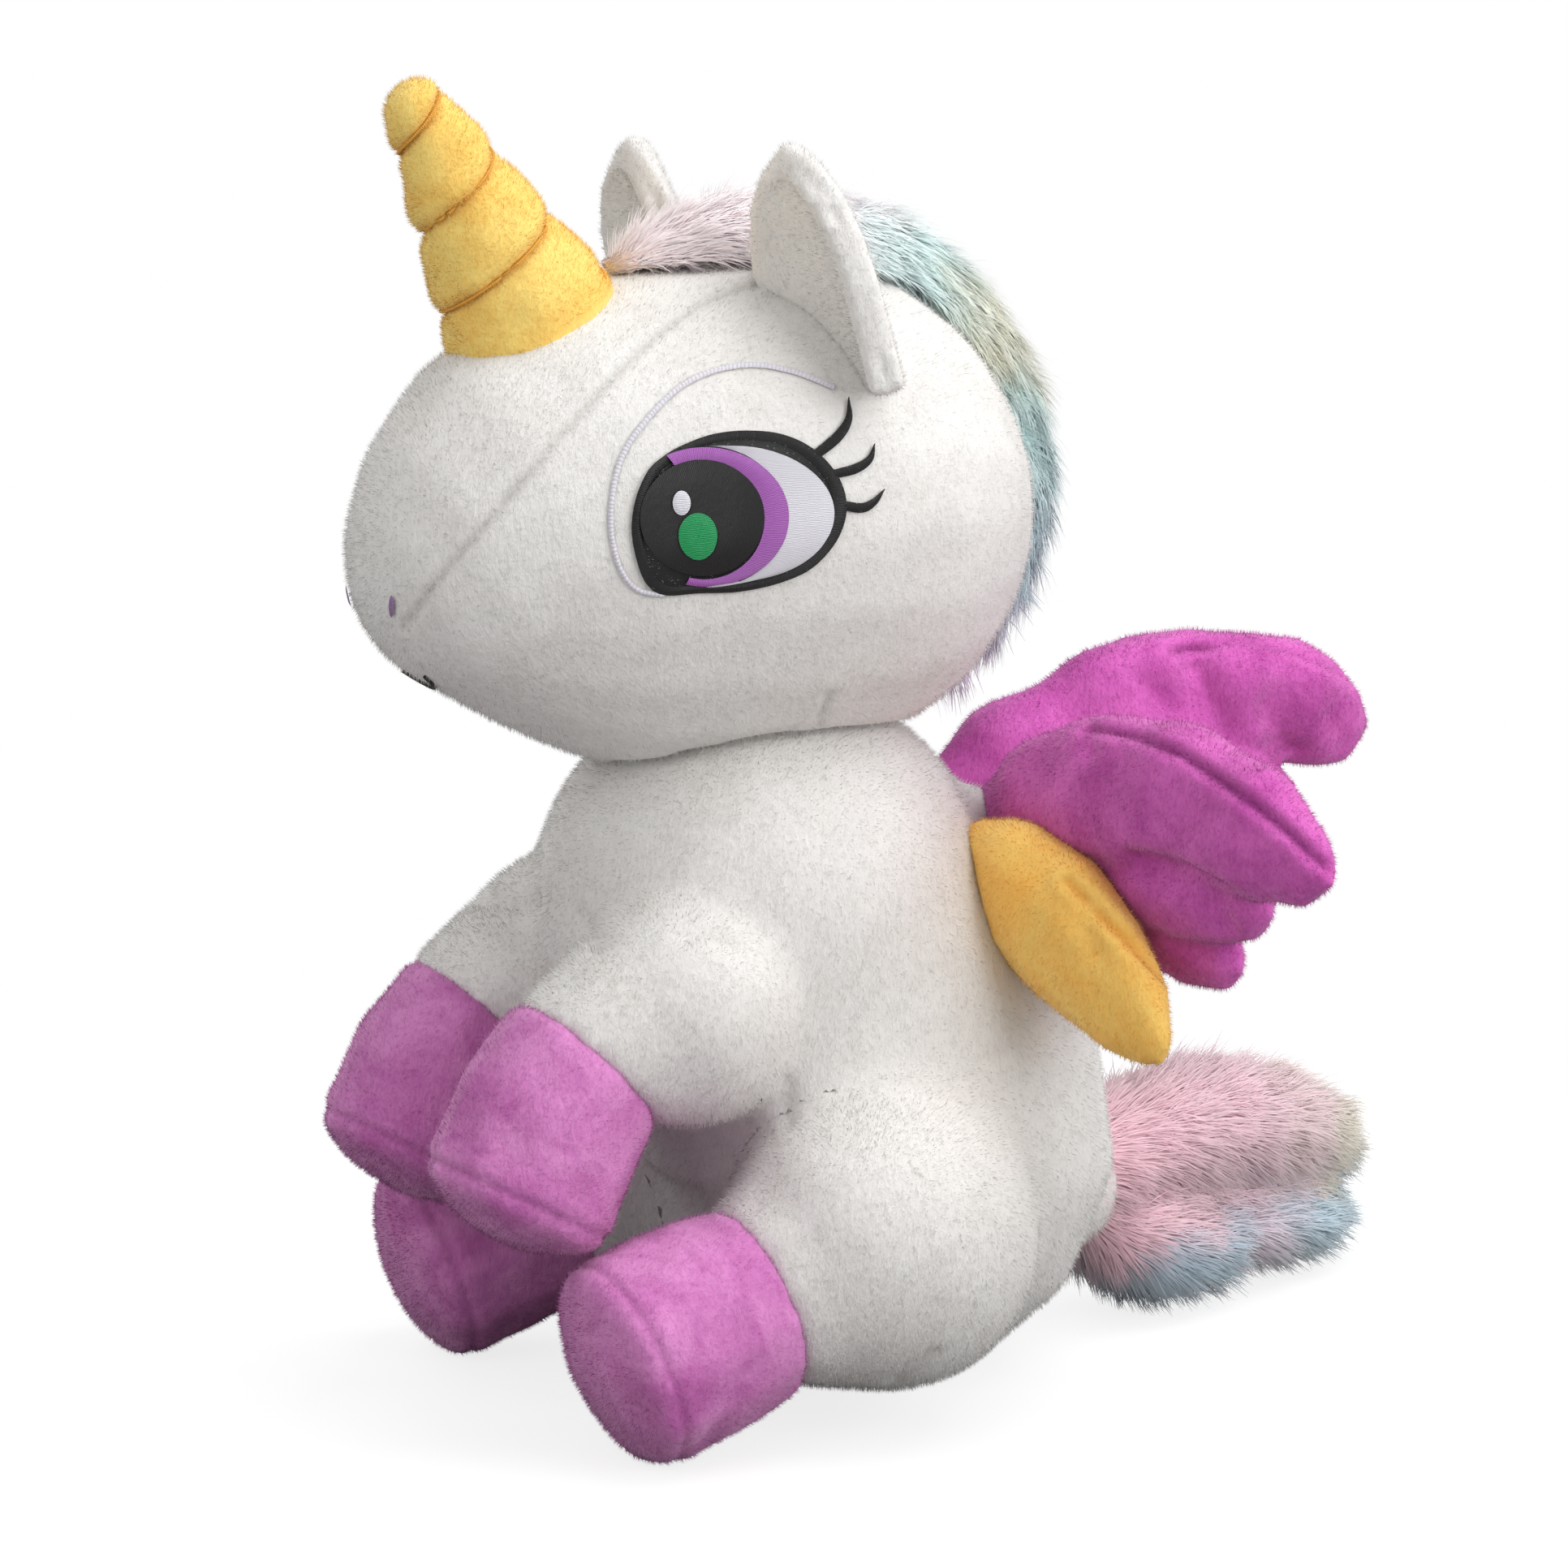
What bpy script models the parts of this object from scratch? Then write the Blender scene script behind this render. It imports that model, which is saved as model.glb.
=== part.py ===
"""Sitting plush unicorn with wings: sewn covers round stuffing, hinged where the limbs are sewn on.

Metres, +Z up. The toy faces -Y and its left side is +X. The origin is on the floor, under the seat.
"""

import math

import bmesh
import bpy
from mathutils import Matrix, Vector

# Fabric and fits
WALL = 0.002  # plush fabric with its short pile
GAP = 0.0003  # between pieces that touch
THREAD_LAYER = 0.0006  # embroidery standing on the fabric
BODY_SLACK = 0.0030  # what coarse stuffing keeps clear of a cover's flats
INSIDE = WALL + GAP
SIDES = (("left", 1), ("right", -1))
BIG = 0.5  # past the toy on every side

# Body: a pear that leans forward to a round neck
BODY_HEIGHT = 0.163
BODY_WIDTH = 0.115
BODY_DEPTH = 0.111
BODY_SINK = 0.006  # of the round bottom, pressed flat by the floor
BODY_SPINE = ((0.002, 0.0), (0.007, 0.025), (0.013, 0.052), (0.005, 0.078), (-0.013, 0.104))  # y and z
BODY_PROFILE = (  # share of the length, then of the half width and of the half depth
    (0.035, 0.42, 0.42), (0.08, 0.57, 0.55), (0.15, 0.76, 0.73), (0.21, 0.87, 0.84), (0.30, 0.97, 0.95),
    (0.42, 1.0, 1.0), (0.53, 0.95, 0.965), (0.62, 0.915, 0.945),
)
NECK_Y = -0.018
NECK_RADIUS = 0.052
NECK_STRETCH = 0.18  # share of the body's length that stays in the head's socket
NECK_UPRIGHT = 0.2  # of its radius, above which the body no longer leans
NECK_HOLE_RADIUS = 0.026
PELLET_BAG_WIDTH = 0.040
PELLET_BAG_HEIGHT = 0.026
PELLET_BAG_Y = 0.006
PELLET_BAG_LIFT = 0.3  # of its height, from the seat to its middle

# Head: a ball of a skull drawn out to a muzzle
HEAD_LENGTH = 0.154
HEAD_WIDTH = 0.112
HEAD_HEIGHT = 0.113
HEAD_ABOVE_NECK = 0.091  # from the neck's joint to the middle of the skull
HEAD_BEHIND_NECK = 0.059
NOSE_DROP = 0.022
HEAD_SPINE = ((0.0, 1.0), (0.11, 0.60), (0.235, 0.28), (0.5, 0.0), (1.0, 0.0))  # shares of the length and of the drop
HEAD_PROFILE = (  # share of the length, then of the half width and of the half height
    (0.07, 0.46, 0.43), (0.14, 0.61, 0.65), (0.235, 0.75, 0.83), (0.36, 0.875, 0.95), (0.49, 0.965, 0.99),
    (0.64, 1.0, 1.0), (0.79, 0.955, 0.93), (0.885, 0.82, 0.75), (0.95, 0.60, 0.52),
)

# Horn: a cone drawn in to tiers by a wound thread
HORN_LENGTH = 0.058
HORN_BASE_RADIUS = 0.0198
HORN_TIP_RADIUS = 0.0075
HORN_AT = 0.305  # share of the head's length
HORN_LEAN = math.radians(30)  # forward of upright
HORN_CURVE = 1.15  # over 1 makes its sides bow out
HORN_ROOT = 0.012  # length inside the head's outline
HORN_TURNS = 3.2
HORN_GROOVE = 0.0016
HORN_FADE = (0.08, 0.12)  # share of its length over which the groove runs out, at its root and at its tip
HORN_STATIONS = (0.04, 0.10, 0.30, 0.45, 0.60, 0.75, 0.86, 0.94)
THREAD_RADIUS = 0.0004
THREAD_FROM = 0.11  # share of the turns that the thread leaves free at the root
THREAD_SHARE = 0.80
LOOP_POINTS = 24

# Ears: cupped leaves
EAR_LENGTH = 0.042
EAR_WIDTH = 0.040
EAR_CUP = 0.008
EAR_WALL = 0.0028
EAR_ROOT = 0.010
EAR_AT = 0.60  # share of the head's length
EAR_ANGLE = math.radians(43)  # round the head, up from its side
EAR_BROADEST = 0.38  # share of its length
EAR_TAPER = (2.4, 0.6)  # powers that draw its sides in to the tip
EAR_CROWDING = 1.5  # brings its rows closer at the tip
EAR_FLATTENING = 0.6  # of the cup, lost towards the tip
EAR_UP = (-0.06, -0.24, 0.97)  # the left ear's direction
EAR_FACE = math.radians(4)  # outward of straight ahead

# Mane and tail: long pile, as its outer shape
MANE_WIDTH = 0.037
MANE_LIFT = 0.019
MANE_FRONT = 0.41  # share of the head's length
MANE_CROWN = 0.97
MANE_BACK = 0.995
MANE_NAPE = 0.88
MANE_PROFILE = ((0.05, 0.55, 0.50), (0.2, 0.95, 0.9), (0.45, 1.0, 1.0), (0.75, 0.9, 0.95), (0.93, 0.6, 0.6))
TAIL_WIDTH = 0.042
TAIL_HEIGHT = 0.034
TAIL_LENGTH = 0.118
TAIL_ROOT_RADIUS = 0.014
TAIL_IN_SOCKET = 1.5  # of that radius, how much of the tail stays in the body's socket
TAIL_OUT = 0.004  # its joint, behind the body's outline
TAIL_Z = 0.038
TAIL_AT = 0.26  # share of the body's length
TAIL_TURN = math.radians(-21)  # it lies to the toy's right
TAIL_SPINE = ((0.35, 0.006), (0.7, 0.0), (1.0, -0.012))  # share of its length, then up from its joint
TAIL_PROFILE = ((0.24, 0.80, 0.84), (0.42, 0.96, 0.96), (0.65, 1.0, 1.0), (0.87, 0.72, 0.75))
LOWER_LOCK_ROOT = (-0.0042, -0.004)  # from the tail's joint
LOWER_LOCK = ((0.25, 0.018), (0.55, 0.013))  # share of the tail's length, then up from the floor
LOWER_LOCK_HEIGHT = 0.42  # of the tail's, from its middle
FRINGE_LOCK_ROOT = (0.0177, -0.012)
FRINGE_LOCK = ((0.6, 0.015), (0.97, 0.011))
FRINGE_LOCK_WIDTH = 0.44
FRINGE_LOCK_HEIGHT = 0.34

# Legs: a ball in the body, a sleeve, a hoof and its sole
SHOULDER = Vector((0.029, -0.052, 0.096))
FRONT_REACH = 0.0430
FRONT_DROP = 0.0415
FRONT_BEND = 0.34  # how much of the drop comes after the elbow
ELBOW = 0.58  # share of a leg's reach
FRONT_ROOT_RADIUS = 0.0240
FRONT_HOOF_RADIUS = 0.0195
HIP = Vector((0.049, -0.0125, 0.044))
HIND_REACH = 0.067
HIND_SPLAY = {"left": 0.0, "right": math.radians(7)}  # outward from straight ahead, at rest
HIND_ROOT_RADIUS = 0.0325
HIND_HOOF_RADIUS = 0.0218
HOOF_LENGTH = 0.036
HOOF_PROFILE = (0.97, 1.02, 1.05, 1.06, 1.04, 1.0)  # radius from its top seam to its sole
SOLE_BULGE = 0.006
SOLE_ROLL = 0.003  # how far the sole turns up the hoof's side
FRONT_IN_SOCKET = 0.64  # share of the sleeve that stays in the body's socket
HIND_IN_SOCKET = 0.64
LIMB_SLACK = 0.068  # of its radius, what the stuffing's flats keep clear of the cover's
FLOOR_PRESS = 0.0005  # what the floor flattens under the hind hooves

# Wings: feathers and a leaf, sewn to the back along a leaning line
WING_X = 0.014
WING_Z = 0.129
WING_TILT = math.radians(5)
WING_OPEN = math.radians(84)  # spread from straight back
WING_FOLD = {"left": 0.0, "right": math.radians(87)}  # how far each has swung back at rest
WING_BITE = 0.0012  # how far the sewn line is pulled into the back
WING_ROOT_SPAN = 0.003  # of the feathers' length, beside the sewn line
FEATHERS = (  # spine along the wing and up the sewn line, then height, thickness and step to the back
    (((-0.0062, -0.001), (0.036, 0.012), (0.076, 0.015), (0.123, 0.002)), 0.034, 0.022, 0.0),
    (((0.006, -0.004), (0.048, -0.004), (0.098, -0.010)), 0.026, 0.018, 0.004),
    (((0.012, -0.009), (0.044, -0.015), (0.083, -0.026)), 0.024, 0.016, 0.007),
)
FEATHER_PROFILE = (
    (0.04, 0.40, 0.42), (0.15, 0.68, 0.70), (0.35, 0.92, 0.95), (0.60, 1.0, 1.0), (0.85, 0.80, 0.84), (0.96, 0.45, 0.48),
)
LEAF_SPINE = ((0.004, -0.004), (0.032, -0.010), (0.056, -0.022), (0.080, -0.042))
LEAF_WIDTH = 0.036
LEAF_THICKNESS = 0.022
LEAF_FORWARD = 0.0140
LEAF_PROFILE = ((0.05, 0.40, 0.42), (0.2, 0.80, 0.82), (0.45, 1.0, 1.0), (0.7, 0.88, 0.86), (0.93, 0.42, 0.40))
TURNING_HOLE = 0.003  # radius of the opening that a pillow is turned and filled through
MOUTH_DEPTH = 0.04
LEAF_MOUTH_AT = 0.55  # share of the leaf's length

# Eyes, on the cheeks: measured back from the nose and up from the middle of the skull
EYE_BACK = 0.0655
EYE_UP = 0.0045
EYE_WIDTH = 0.046
EYE_HEIGHT = 0.037
EYE_RIM = 0.0018
IRIS_WIDTH = 0.036
IRIS_HEIGHT = 0.034
PUPIL_WIDTH = 0.028
PUPIL_HEIGHT = 0.027
IRIS_OFF = (-0.12, -0.01)  # of the eye's width and height, from its middle
PUPIL_OFF = (-0.16, -0.02)
GLINT_OFF = (-0.26, 0.08)
GLINT_SIZE = (0.0042, 0.0062)
GLINT_LEAN = 0.2
SPARK_OFF = (-0.18, -0.14)
SPARK_SIZE = (0.0085, 0.0100)
LASHES = ((0.75, 0.013), (0.42, 0.011), (0.12, 0.010))  # turn round the eye, then length
LASH_FOOT = 0.93  # of the eye's width and height
LASH_WIDTHS = (0.0034, 0.0026, 0.0006)  # at its foot, bend and tip
LASH_BEND = ((0.62, -0.25), (0.5, 0.55))  # share of its length and turn, up to the bend and on to the tip
BROW_OUT = 0.006
BROW_UP = 0.014
BROW_WIDTH = 0.0014
BROW_ARC = (math.radians(50), math.radians(222))

# Muzzle: measured from the tip of the nose
NOSTRIL_APART = 0.0136
NOSTRIL_UP = 0.006
NOSTRIL_SIZE = (0.0016, 0.0046)
MOUTH_UP = -0.011
MOUTH_WIDTH = 0.016
MOUTH_DIP = 0.010
MOUTH_LINE = 0.0016

# Fineness of the meshes
AROUND_BODY = 20
ALONG_BODY = 13
AROUND_LIMB = 12
AROUND_STUFFING = 10
AROUND_FILLING = 12  # the body's and the head's
ALONG_SLEEVE = 7
ALONG_HOOF = 3
ALONG_FILLED_SLEEVE = 5
ALONG_FILLED_HOOF = 4
ALONG_HORN = 22
ALONG_MANE = 14
ALONG_LOCK = 6
ALONG_FEATHER = 7
ALONG_PILLOW = 8
EAR_CELLS = 6
BROW_POINTS = 11
SAMPLES = 24  # round or along a form, where its reach is measured
SPINE_STEP = 0.004  # share of a spine's length, for its direction
DOME_DEPTHS = (0.16, 0.45, 0.75, 1.0)

# Colours
WHITE = (0.78, 0.76, 0.73)
PURPLE = (0.50, 0.11, 0.41)
GOLD = (0.95, 0.50, 0.08)
PASTEL = (0.82, 0.66, 0.74)
FIBRE = (0.88, 0.88, 0.86)
BLACK = (0.01, 0.01, 0.01)
IRIS = (0.38, 0.12, 0.43)
EYE_WHITE = (0.74, 0.70, 0.77)
GREEN = (0.01, 0.30, 0.09)
BROW = (0.62, 0.58, 0.70)

for old in list(bpy.data.objects):
    bpy.data.objects.remove(old)

toy = bpy.data.collections.new("plush_unicorn")
cutters = bpy.data.collections.new("cutters")
bpy.context.scene.collection.children.link(toy)
bpy.context.scene.collection.children.link(cutters)


def fabric(name, colour):
    material = bpy.data.materials.new(name)
    material.use_nodes = True
    shader = material.node_tree.nodes["Principled BSDF"]
    shader.inputs["Base Color"].default_value = (*colour, 1.0)
    shader.inputs["Roughness"].default_value = 0.9
    shader.inputs["Metallic"].default_value = 0.0
    return material


def part(name, mesh, colour, parent=None):
    """One sub-part, with its own material."""
    thing = bpy.data.objects.new(name, mesh)
    toy.objects.link(thing)
    mesh.materials.append(fabric(name, colour))
    mesh.shade_smooth()
    mesh.set_sharp_from_angle(angle=math.radians(40))
    thing.parent = parent
    return thing


def cutter(name, mesh):
    thing = bpy.data.objects.new(name, mesh)
    cutters.objects.link(thing)
    thing.hide_render = True
    thing.display_type = "WIRE"
    return thing


def boolean(thing, other, operation="DIFFERENCE"):
    modifier = thing.modifiers.new(other.name, "BOOLEAN")
    modifier.operation = operation
    modifier.object = other


def hinge(name, place):
    """An empty on a joint's axis, for the pieces that move with it."""
    empty = bpy.data.objects.new(name, None)
    toy.objects.link(empty)
    empty.location = place
    bpy.context.view_layer.update()
    return empty


def finish(bm, name):
    mesh = bpy.data.meshes.new(name)
    bm.to_mesh(mesh)
    bm.free()
    return mesh


def ball(name, place, radius, segments=18, rings=9):
    """A sphere whose flats lie no nearer to its middle than the radius."""
    bm = bmesh.new()
    outside = radius / math.cos(math.pi / segments) / math.cos(math.pi / rings / 2)
    bmesh.ops.create_uvsphere(bm, u_segments=segments, v_segments=rings, radius=outside)
    bmesh.ops.translate(bm, verts=bm.verts, vec=place)
    return finish(bm, name)


def rod(name, place, axis, radius, length, segments=24):
    """A cylinder round an axis, whose flats lie no nearer to it than the radius."""
    bm = bmesh.new()
    outside = radius / math.cos(math.pi / segments)
    turn = Vector(axis).to_track_quat("Z", "Y").to_matrix().to_4x4()
    bmesh.ops.create_cone(
        bm, cap_ends=True, segments=segments, radius1=outside, radius2=outside, depth=length,
        matrix=Matrix.Translation(place) @ turn,
    )
    return finish(bm, name)


def block(name, low, high):
    bm = bmesh.new()
    size = Vector(high) - Vector(low)
    middle = (Vector(high) + Vector(low)) / 2
    bmesh.ops.create_cube(bm, size=1.0, matrix=Matrix.Translation(middle) @ Matrix.Diagonal((*size, 1.0)))
    return finish(bm, name)


def eased(stations, at, column):
    """A smooth curve through the stations' values, level past the first and last."""
    if at <= stations[0][0]:
        return stations[0][column]
    if at >= stations[-1][0]:
        return stations[-1][column]
    last = len(stations) - 1
    i = max(k for k in range(last) if stations[k][0] <= at)
    here, there = stations[i], stations[i + 1]
    before, after = stations[max(i - 1, 0)], stations[min(i + 2, last)]
    span = there[0] - here[0]
    slope_in = (there[column] - before[column]) / (there[0] - before[0]) * span
    slope_out = (after[column] - here[column]) / (after[0] - here[0]) * span
    t = (at - here[0]) / span
    return (
        (2 * t**3 - 3 * t**2 + 1) * here[column] + (t**3 - 2 * t**2 + t) * slope_in
        + (3 * t**2 - 2 * t**3) * there[column] + (t**3 - t**2) * slope_out
    )


class Form:
    """A stuffed form: an ellipsoid drawn along a spine, swelling and tapering by its profile.

    The spine's points are (along, up) in an upright plane. Rings stand square to it, as wide as half_wide
    across the plane and as tall as half_tall in it. A profile's row is a share of the length, then the
    shares of the half width and half height there.
    """

    def __init__(self, spine, half_wide, half_tall, profile, side=0.0, place=None, ripple=None):
        self.points = [Vector(p) for p in spine]
        reach = [0.0]
        for a, b in zip(self.points, self.points[1:]):
            reach.append(reach[-1] + (b - a).length)
        self.length = reach[-1]
        self.spine = [(r / reach[-1], p.x, p.y) for r, p in zip(reach, self.points)]
        self.half_wide = half_wide
        self.half_tall = half_tall
        self.profile = [(s, w / self.ring(s), t / self.ring(s)) for s, w, t in profile]
        self.place = place or Matrix.Translation((side, 0, 0))
        self.ripple = ripple

    @staticmethod
    def ring(share):
        return 2 * math.sqrt(max(share * (1 - share), 0.0))

    def middle(self, share):
        return Vector((eased(self.spine, share, 1), eased(self.spine, share, 2)))

    def point(self, share, angle, out=0.0):
        """A point of the surface. The angle runs from the side, by the ring's top."""
        ahead = self.middle(min(share + SPINE_STEP, 1.0)) - self.middle(max(share - SPINE_STEP, 0.0))
        ahead.normalize()
        up = Vector((-ahead.y, ahead.x))
        ring = self.ring(share)
        wide = self.half_wide * eased(self.profile, share, 1) * ring
        tall = self.half_tall * eased(self.profile, share, 2) * ring
        if self.ripple:
            drawn_in = self.ripple(share, angle)
            wide -= drawn_in
            tall -= drawn_in
        flat = self.middle(share) + up * ((tall + out) * math.sin(angle))
        return self.place @ Vector(((wide + out) * math.cos(angle), flat.x, flat.y))

    def roll(self, name, around, shares, out=0.0):
        """A grid rolled round the spine and welded, with a ring at each of these shares of its length."""
        last = len(shares) - 1
        bm = bmesh.new()
        bmesh.ops.create_grid(bm, x_segments=last, y_segments=around, size=1.0)
        for vert in bm.verts:
            share = shares[round(last * (vert.co.x + 1) / 2)]
            vert.co = self.point(share, math.pi * vert.co.y)
        bmesh.ops.remove_doubles(bm, verts=bm.verts, dist=1e-6)
        bm.normal_update()
        core = self.place @ Vector((0, *self.middle((shares[0] + shares[-1]) / 2)))
        if sum((f.calc_center_median() - core).dot(f.normal) for f in bm.faces) < 0:
            bmesh.ops.reverse_faces(bm, faces=bm.faces)
            bm.normal_update()
        if out:
            for vert, normal in [(v, v.normal.copy()) for v in bm.verts]:
                vert.co += normal * out
        bmesh.ops.triangulate(bm, faces=bm.faces, quad_method="FIXED")
        return finish(bm, name)


def spread(count, start=0.0, end=1.0):
    """Shares of a form's length for its rings, closer together at its ends."""
    first = math.acos(1 - 2 * start)
    last = math.acos(1 - 2 * end)
    return [(1 - math.cos(first + (last - first) * k / count)) / 2 for k in range(count + 1)]


def dome_rows(radius, length, half_wide, half_tall, at_end=False):
    """Profile rows that make one end of a form a ball of this radius."""
    rows = []
    for depth in DOME_DEPTHS:
        size = radius * math.sqrt(1 - (1 - depth) ** 2)
        share = depth * radius / length
        rows.append((1 - share if at_end else share, size / half_wide, size / half_tall))
    return rows[::-1] if at_end else rows


def spine_length(points):
    return sum((Vector(b) - Vector(a)).length for a, b in zip(points, points[1:]))


def reach_from(form, place, shares):
    """How far some of a form's rings reach from a joint's middle."""
    turns = [math.tau * k / SAMPLES for k in range(SAMPLES)]
    return max((form.point(s, a) - Vector(place)).length for s in shares for a in turns)


def shell(thing):
    """Gives an open panel the fabric's thickness, inwards."""
    modifier = thing.modifiers.new("fabric", "SOLIDIFY")
    modifier.thickness = WALL
    modifier.offset = -1.0
    modifier.use_even_offset = True


def mirrored(side):
    return Matrix.Diagonal((side, 1.0, 1.0, 1.0))


# The forms that others are cut by
neck_z = BODY_HEIGHT - NECK_RADIUS
neck = Vector((0.0, NECK_Y, neck_z))
body_spine = (
    (BODY_SPINE[0][0], -BODY_SINK), *BODY_SPINE[1:],
    (NECK_Y, neck_z + NECK_RADIUS * NECK_UPRIGHT), (NECK_Y, BODY_HEIGHT),
)
body_form = Form(
    body_spine, BODY_WIDTH / 2, BODY_DEPTH / 2,
    BODY_PROFILE + tuple(dome_rows(NECK_RADIUS, spine_length(body_spine), BODY_WIDTH / 2, BODY_DEPTH / 2, True)),
)
head_z = neck_z + HEAD_ABOVE_NECK
head_back = NECK_Y + HEAD_BEHIND_NECK
nose_y = head_back - HEAD_LENGTH
head_form = Form(
    [(nose_y + share * HEAD_LENGTH, head_z - drop * NOSE_DROP) for share, drop in HEAD_SPINE],
    HEAD_WIDTH / 2, HEAD_HEIGHT / 2, HEAD_PROFILE,
)
neck_reach = reach_from(body_form, neck, [s for s in spread(ALONG_BODY) if s > 1 - NECK_STRETCH])


def floor_block(top, name):
    return cutter(name, block(name, (-BIG, -BIG, -BIG), (BIG, BIG, top)))


def grown_head(out, name):
    return cutter(name, head_form.roll(name, AROUND_BODY, spread(ALONG_BODY), out))


floor = floor_block(0.0, "floor")
inner_floor = floor_block(WALL, "inner_floor")
stuffing_floor = floor_block(INSIDE, "stuffing_floor")
head_skin = grown_head(GAP, "head_skin")
head_thread = grown_head(GAP + THREAD_LAYER, "head_thread")
head_thread_skin = grown_head(2 * GAP + THREAD_LAYER, "head_thread_skin")
head_second_thread = grown_head(2 * GAP + 2 * THREAD_LAYER, "head_second_thread")
neck_socket = cutter("neck_socket", ball("neck_socket", neck, neck_reach + GAP, 32, 16))


def leg_form(joint, reach, drop, root_radius, hoof_radius, bend, side):
    """A ball at the joint, then a limb forward and down. The bend delays the drop."""
    sole = Vector((joint.y - reach, joint.z - drop))
    start = Vector((joint.y, joint.z))
    elbow = start + Vector((-ELBOW * reach, -(ELBOW - bend) * drop))
    ahead = (sole - elbow).normalized()
    wrist = sole - ahead * HOOF_LENGTH
    first = (elbow - start).normalized()
    spine = (start - first * root_radius, start, wrist, sole, sole + ahead * SOLE_BULGE)
    length = spine_length(spine)
    seam = 1 - (HOOF_LENGTH + SOLE_BULGE) / length
    sole_seam = 1 - SOLE_BULGE / length
    taper = hoof_radius / root_radius
    profile = dome_rows(root_radius, length, root_radius, root_radius) + [
        (seam + (sole_seam - seam) * k / (len(HOOF_PROFILE) - 1), swell * taper, swell * taper)
        for k, swell in enumerate(HOOF_PROFILE)
    ]
    form = Form(spine, root_radius, root_radius, profile, side=side * joint.x)
    return form, seam, sole_seam


def make_leg(name, joint, reach, drop, root_radius, hoof_radius, bend, in_socket, side, splay=0.0):
    """One leg on its joint. Gives back the shape of the body's socket for it."""
    form, seam, sole_seam = leg_form(joint, reach, drop, root_radius, hoof_radius, bend, side)
    place = Vector((side * joint.x, joint.y, joint.z))
    empty = hinge(name + "_joint", place)
    empty.rotation_euler = (0.0, 0.0, side * splay)
    step = GAP / form.length
    split = sole_seam - SOLE_ROLL / form.length
    sleeve = form.roll(name + "_sleeve", AROUND_LIMB, spread(ALONG_SLEEVE, 0.0, seam))
    hoof = form.roll(name + "_hoof", AROUND_LIMB, spread(ALONG_HOOF, seam + step, split - 4 * step))
    sole = form.roll(name + "_sole", AROUND_LIMB, [split] + spread(ALONG_HOOF, sole_seam, 1.0))
    rings = spread(ALONG_FILLED_SLEEVE, 0.0, seam) + spread(ALONG_FILLED_HOOF, seam, 1.0)[1:]
    stuffing = form.roll(name + "_stuffing", AROUND_STUFFING, rings, -INSIDE - LIMB_SLACK * root_radius)
    for mesh, colour in ((sleeve, WHITE), (hoof, PURPLE), (sole, PURPLE)):
        mesh.transform(Matrix.Translation(-place))
        thing = part(mesh.name, mesh, colour, empty)
        shell(thing)
        boolean(thing, floor)
    stuffing.transform(Matrix.Translation(-place))
    part(stuffing.name, stuffing, FIBRE, empty)
    return ball(name + "_socket", place, reach_from(form, place, spread(SAMPLES, 0.0, seam * in_socket)) + GAP)


def make_legs():
    hind_drop = HIP.z - HIND_HOOF_RADIUS + FLOOR_PRESS
    sockets = []
    for word, side in SIDES:
        sockets.append(make_leg(
            "front_leg_" + word, SHOULDER, FRONT_REACH, FRONT_DROP, FRONT_ROOT_RADIUS, FRONT_HOOF_RADIUS, FRONT_BEND,
            FRONT_IN_SOCKET, side,
        ))
        sockets.append(make_leg(
            "hind_leg_" + word, HIP, HIND_REACH, hind_drop, HIND_ROOT_RADIUS, HIND_HOOF_RADIUS, 0.0,
            HIND_IN_SOCKET, side, HIND_SPLAY[word],
        ))
    return sockets


def make_tail():
    """Three locks of long pile, joined, on a root in the body."""
    root = body_form.point(TAIL_AT, -math.pi / 2).y
    place = Vector((0.0, root + TAIL_OUT, TAIL_Z))
    empty = hinge("tail_joint", place)
    empty.rotation_euler = (0.0, 0.0, -TAIL_TURN)

    def laid(stations, floor_z):
        return [(share * TAIL_LENGTH, floor_z + up) for share, up in stations]

    spine = [(-TAIL_ROOT_RADIUS, 0.0), *laid(TAIL_SPINE, 0.0)]
    root_ball = dome_rows(TAIL_ROOT_RADIUS, spine_length(spine), TAIL_WIDTH / 2, TAIL_HEIGHT / 2)
    upper = Form(spine, TAIL_WIDTH / 2, TAIL_HEIGHT / 2, root_ball + list(TAIL_PROFILE))
    lower = Form(
        [LOWER_LOCK_ROOT, *laid(LOWER_LOCK, -TAIL_Z)],
        TAIL_WIDTH / 2, LOWER_LOCK_HEIGHT * TAIL_HEIGHT, TAIL_PROFILE,
    )
    fringe = Form(
        [FRINGE_LOCK_ROOT, *laid(FRINGE_LOCK, -TAIL_Z)],
        FRINGE_LOCK_WIDTH * TAIL_WIDTH, FRINGE_LOCK_HEIGHT * TAIL_HEIGHT, TAIL_PROFILE,
    )
    tail = part("tail", upper.roll("tail", AROUND_LIMB, spread(ALONG_PILLOW)), PASTEL, empty)
    for name, form in (("tail_lower_lock", lower), ("tail_fringe_lock", fringe)):
        lock = cutter(name, form.roll(name, AROUND_STUFFING, spread(ALONG_LOCK)))
        lock.parent = empty
        boolean(tail, lock, "UNION")
    boolean(tail, floor)
    in_body = TAIL_IN_SOCKET * TAIL_ROOT_RADIUS / upper.length
    reach = reach_from(upper, (0.0, 0.0, 0.0), spread(SAMPLES, 0.0, in_body))
    return ball("tail_socket", place, reach + GAP)


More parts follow.
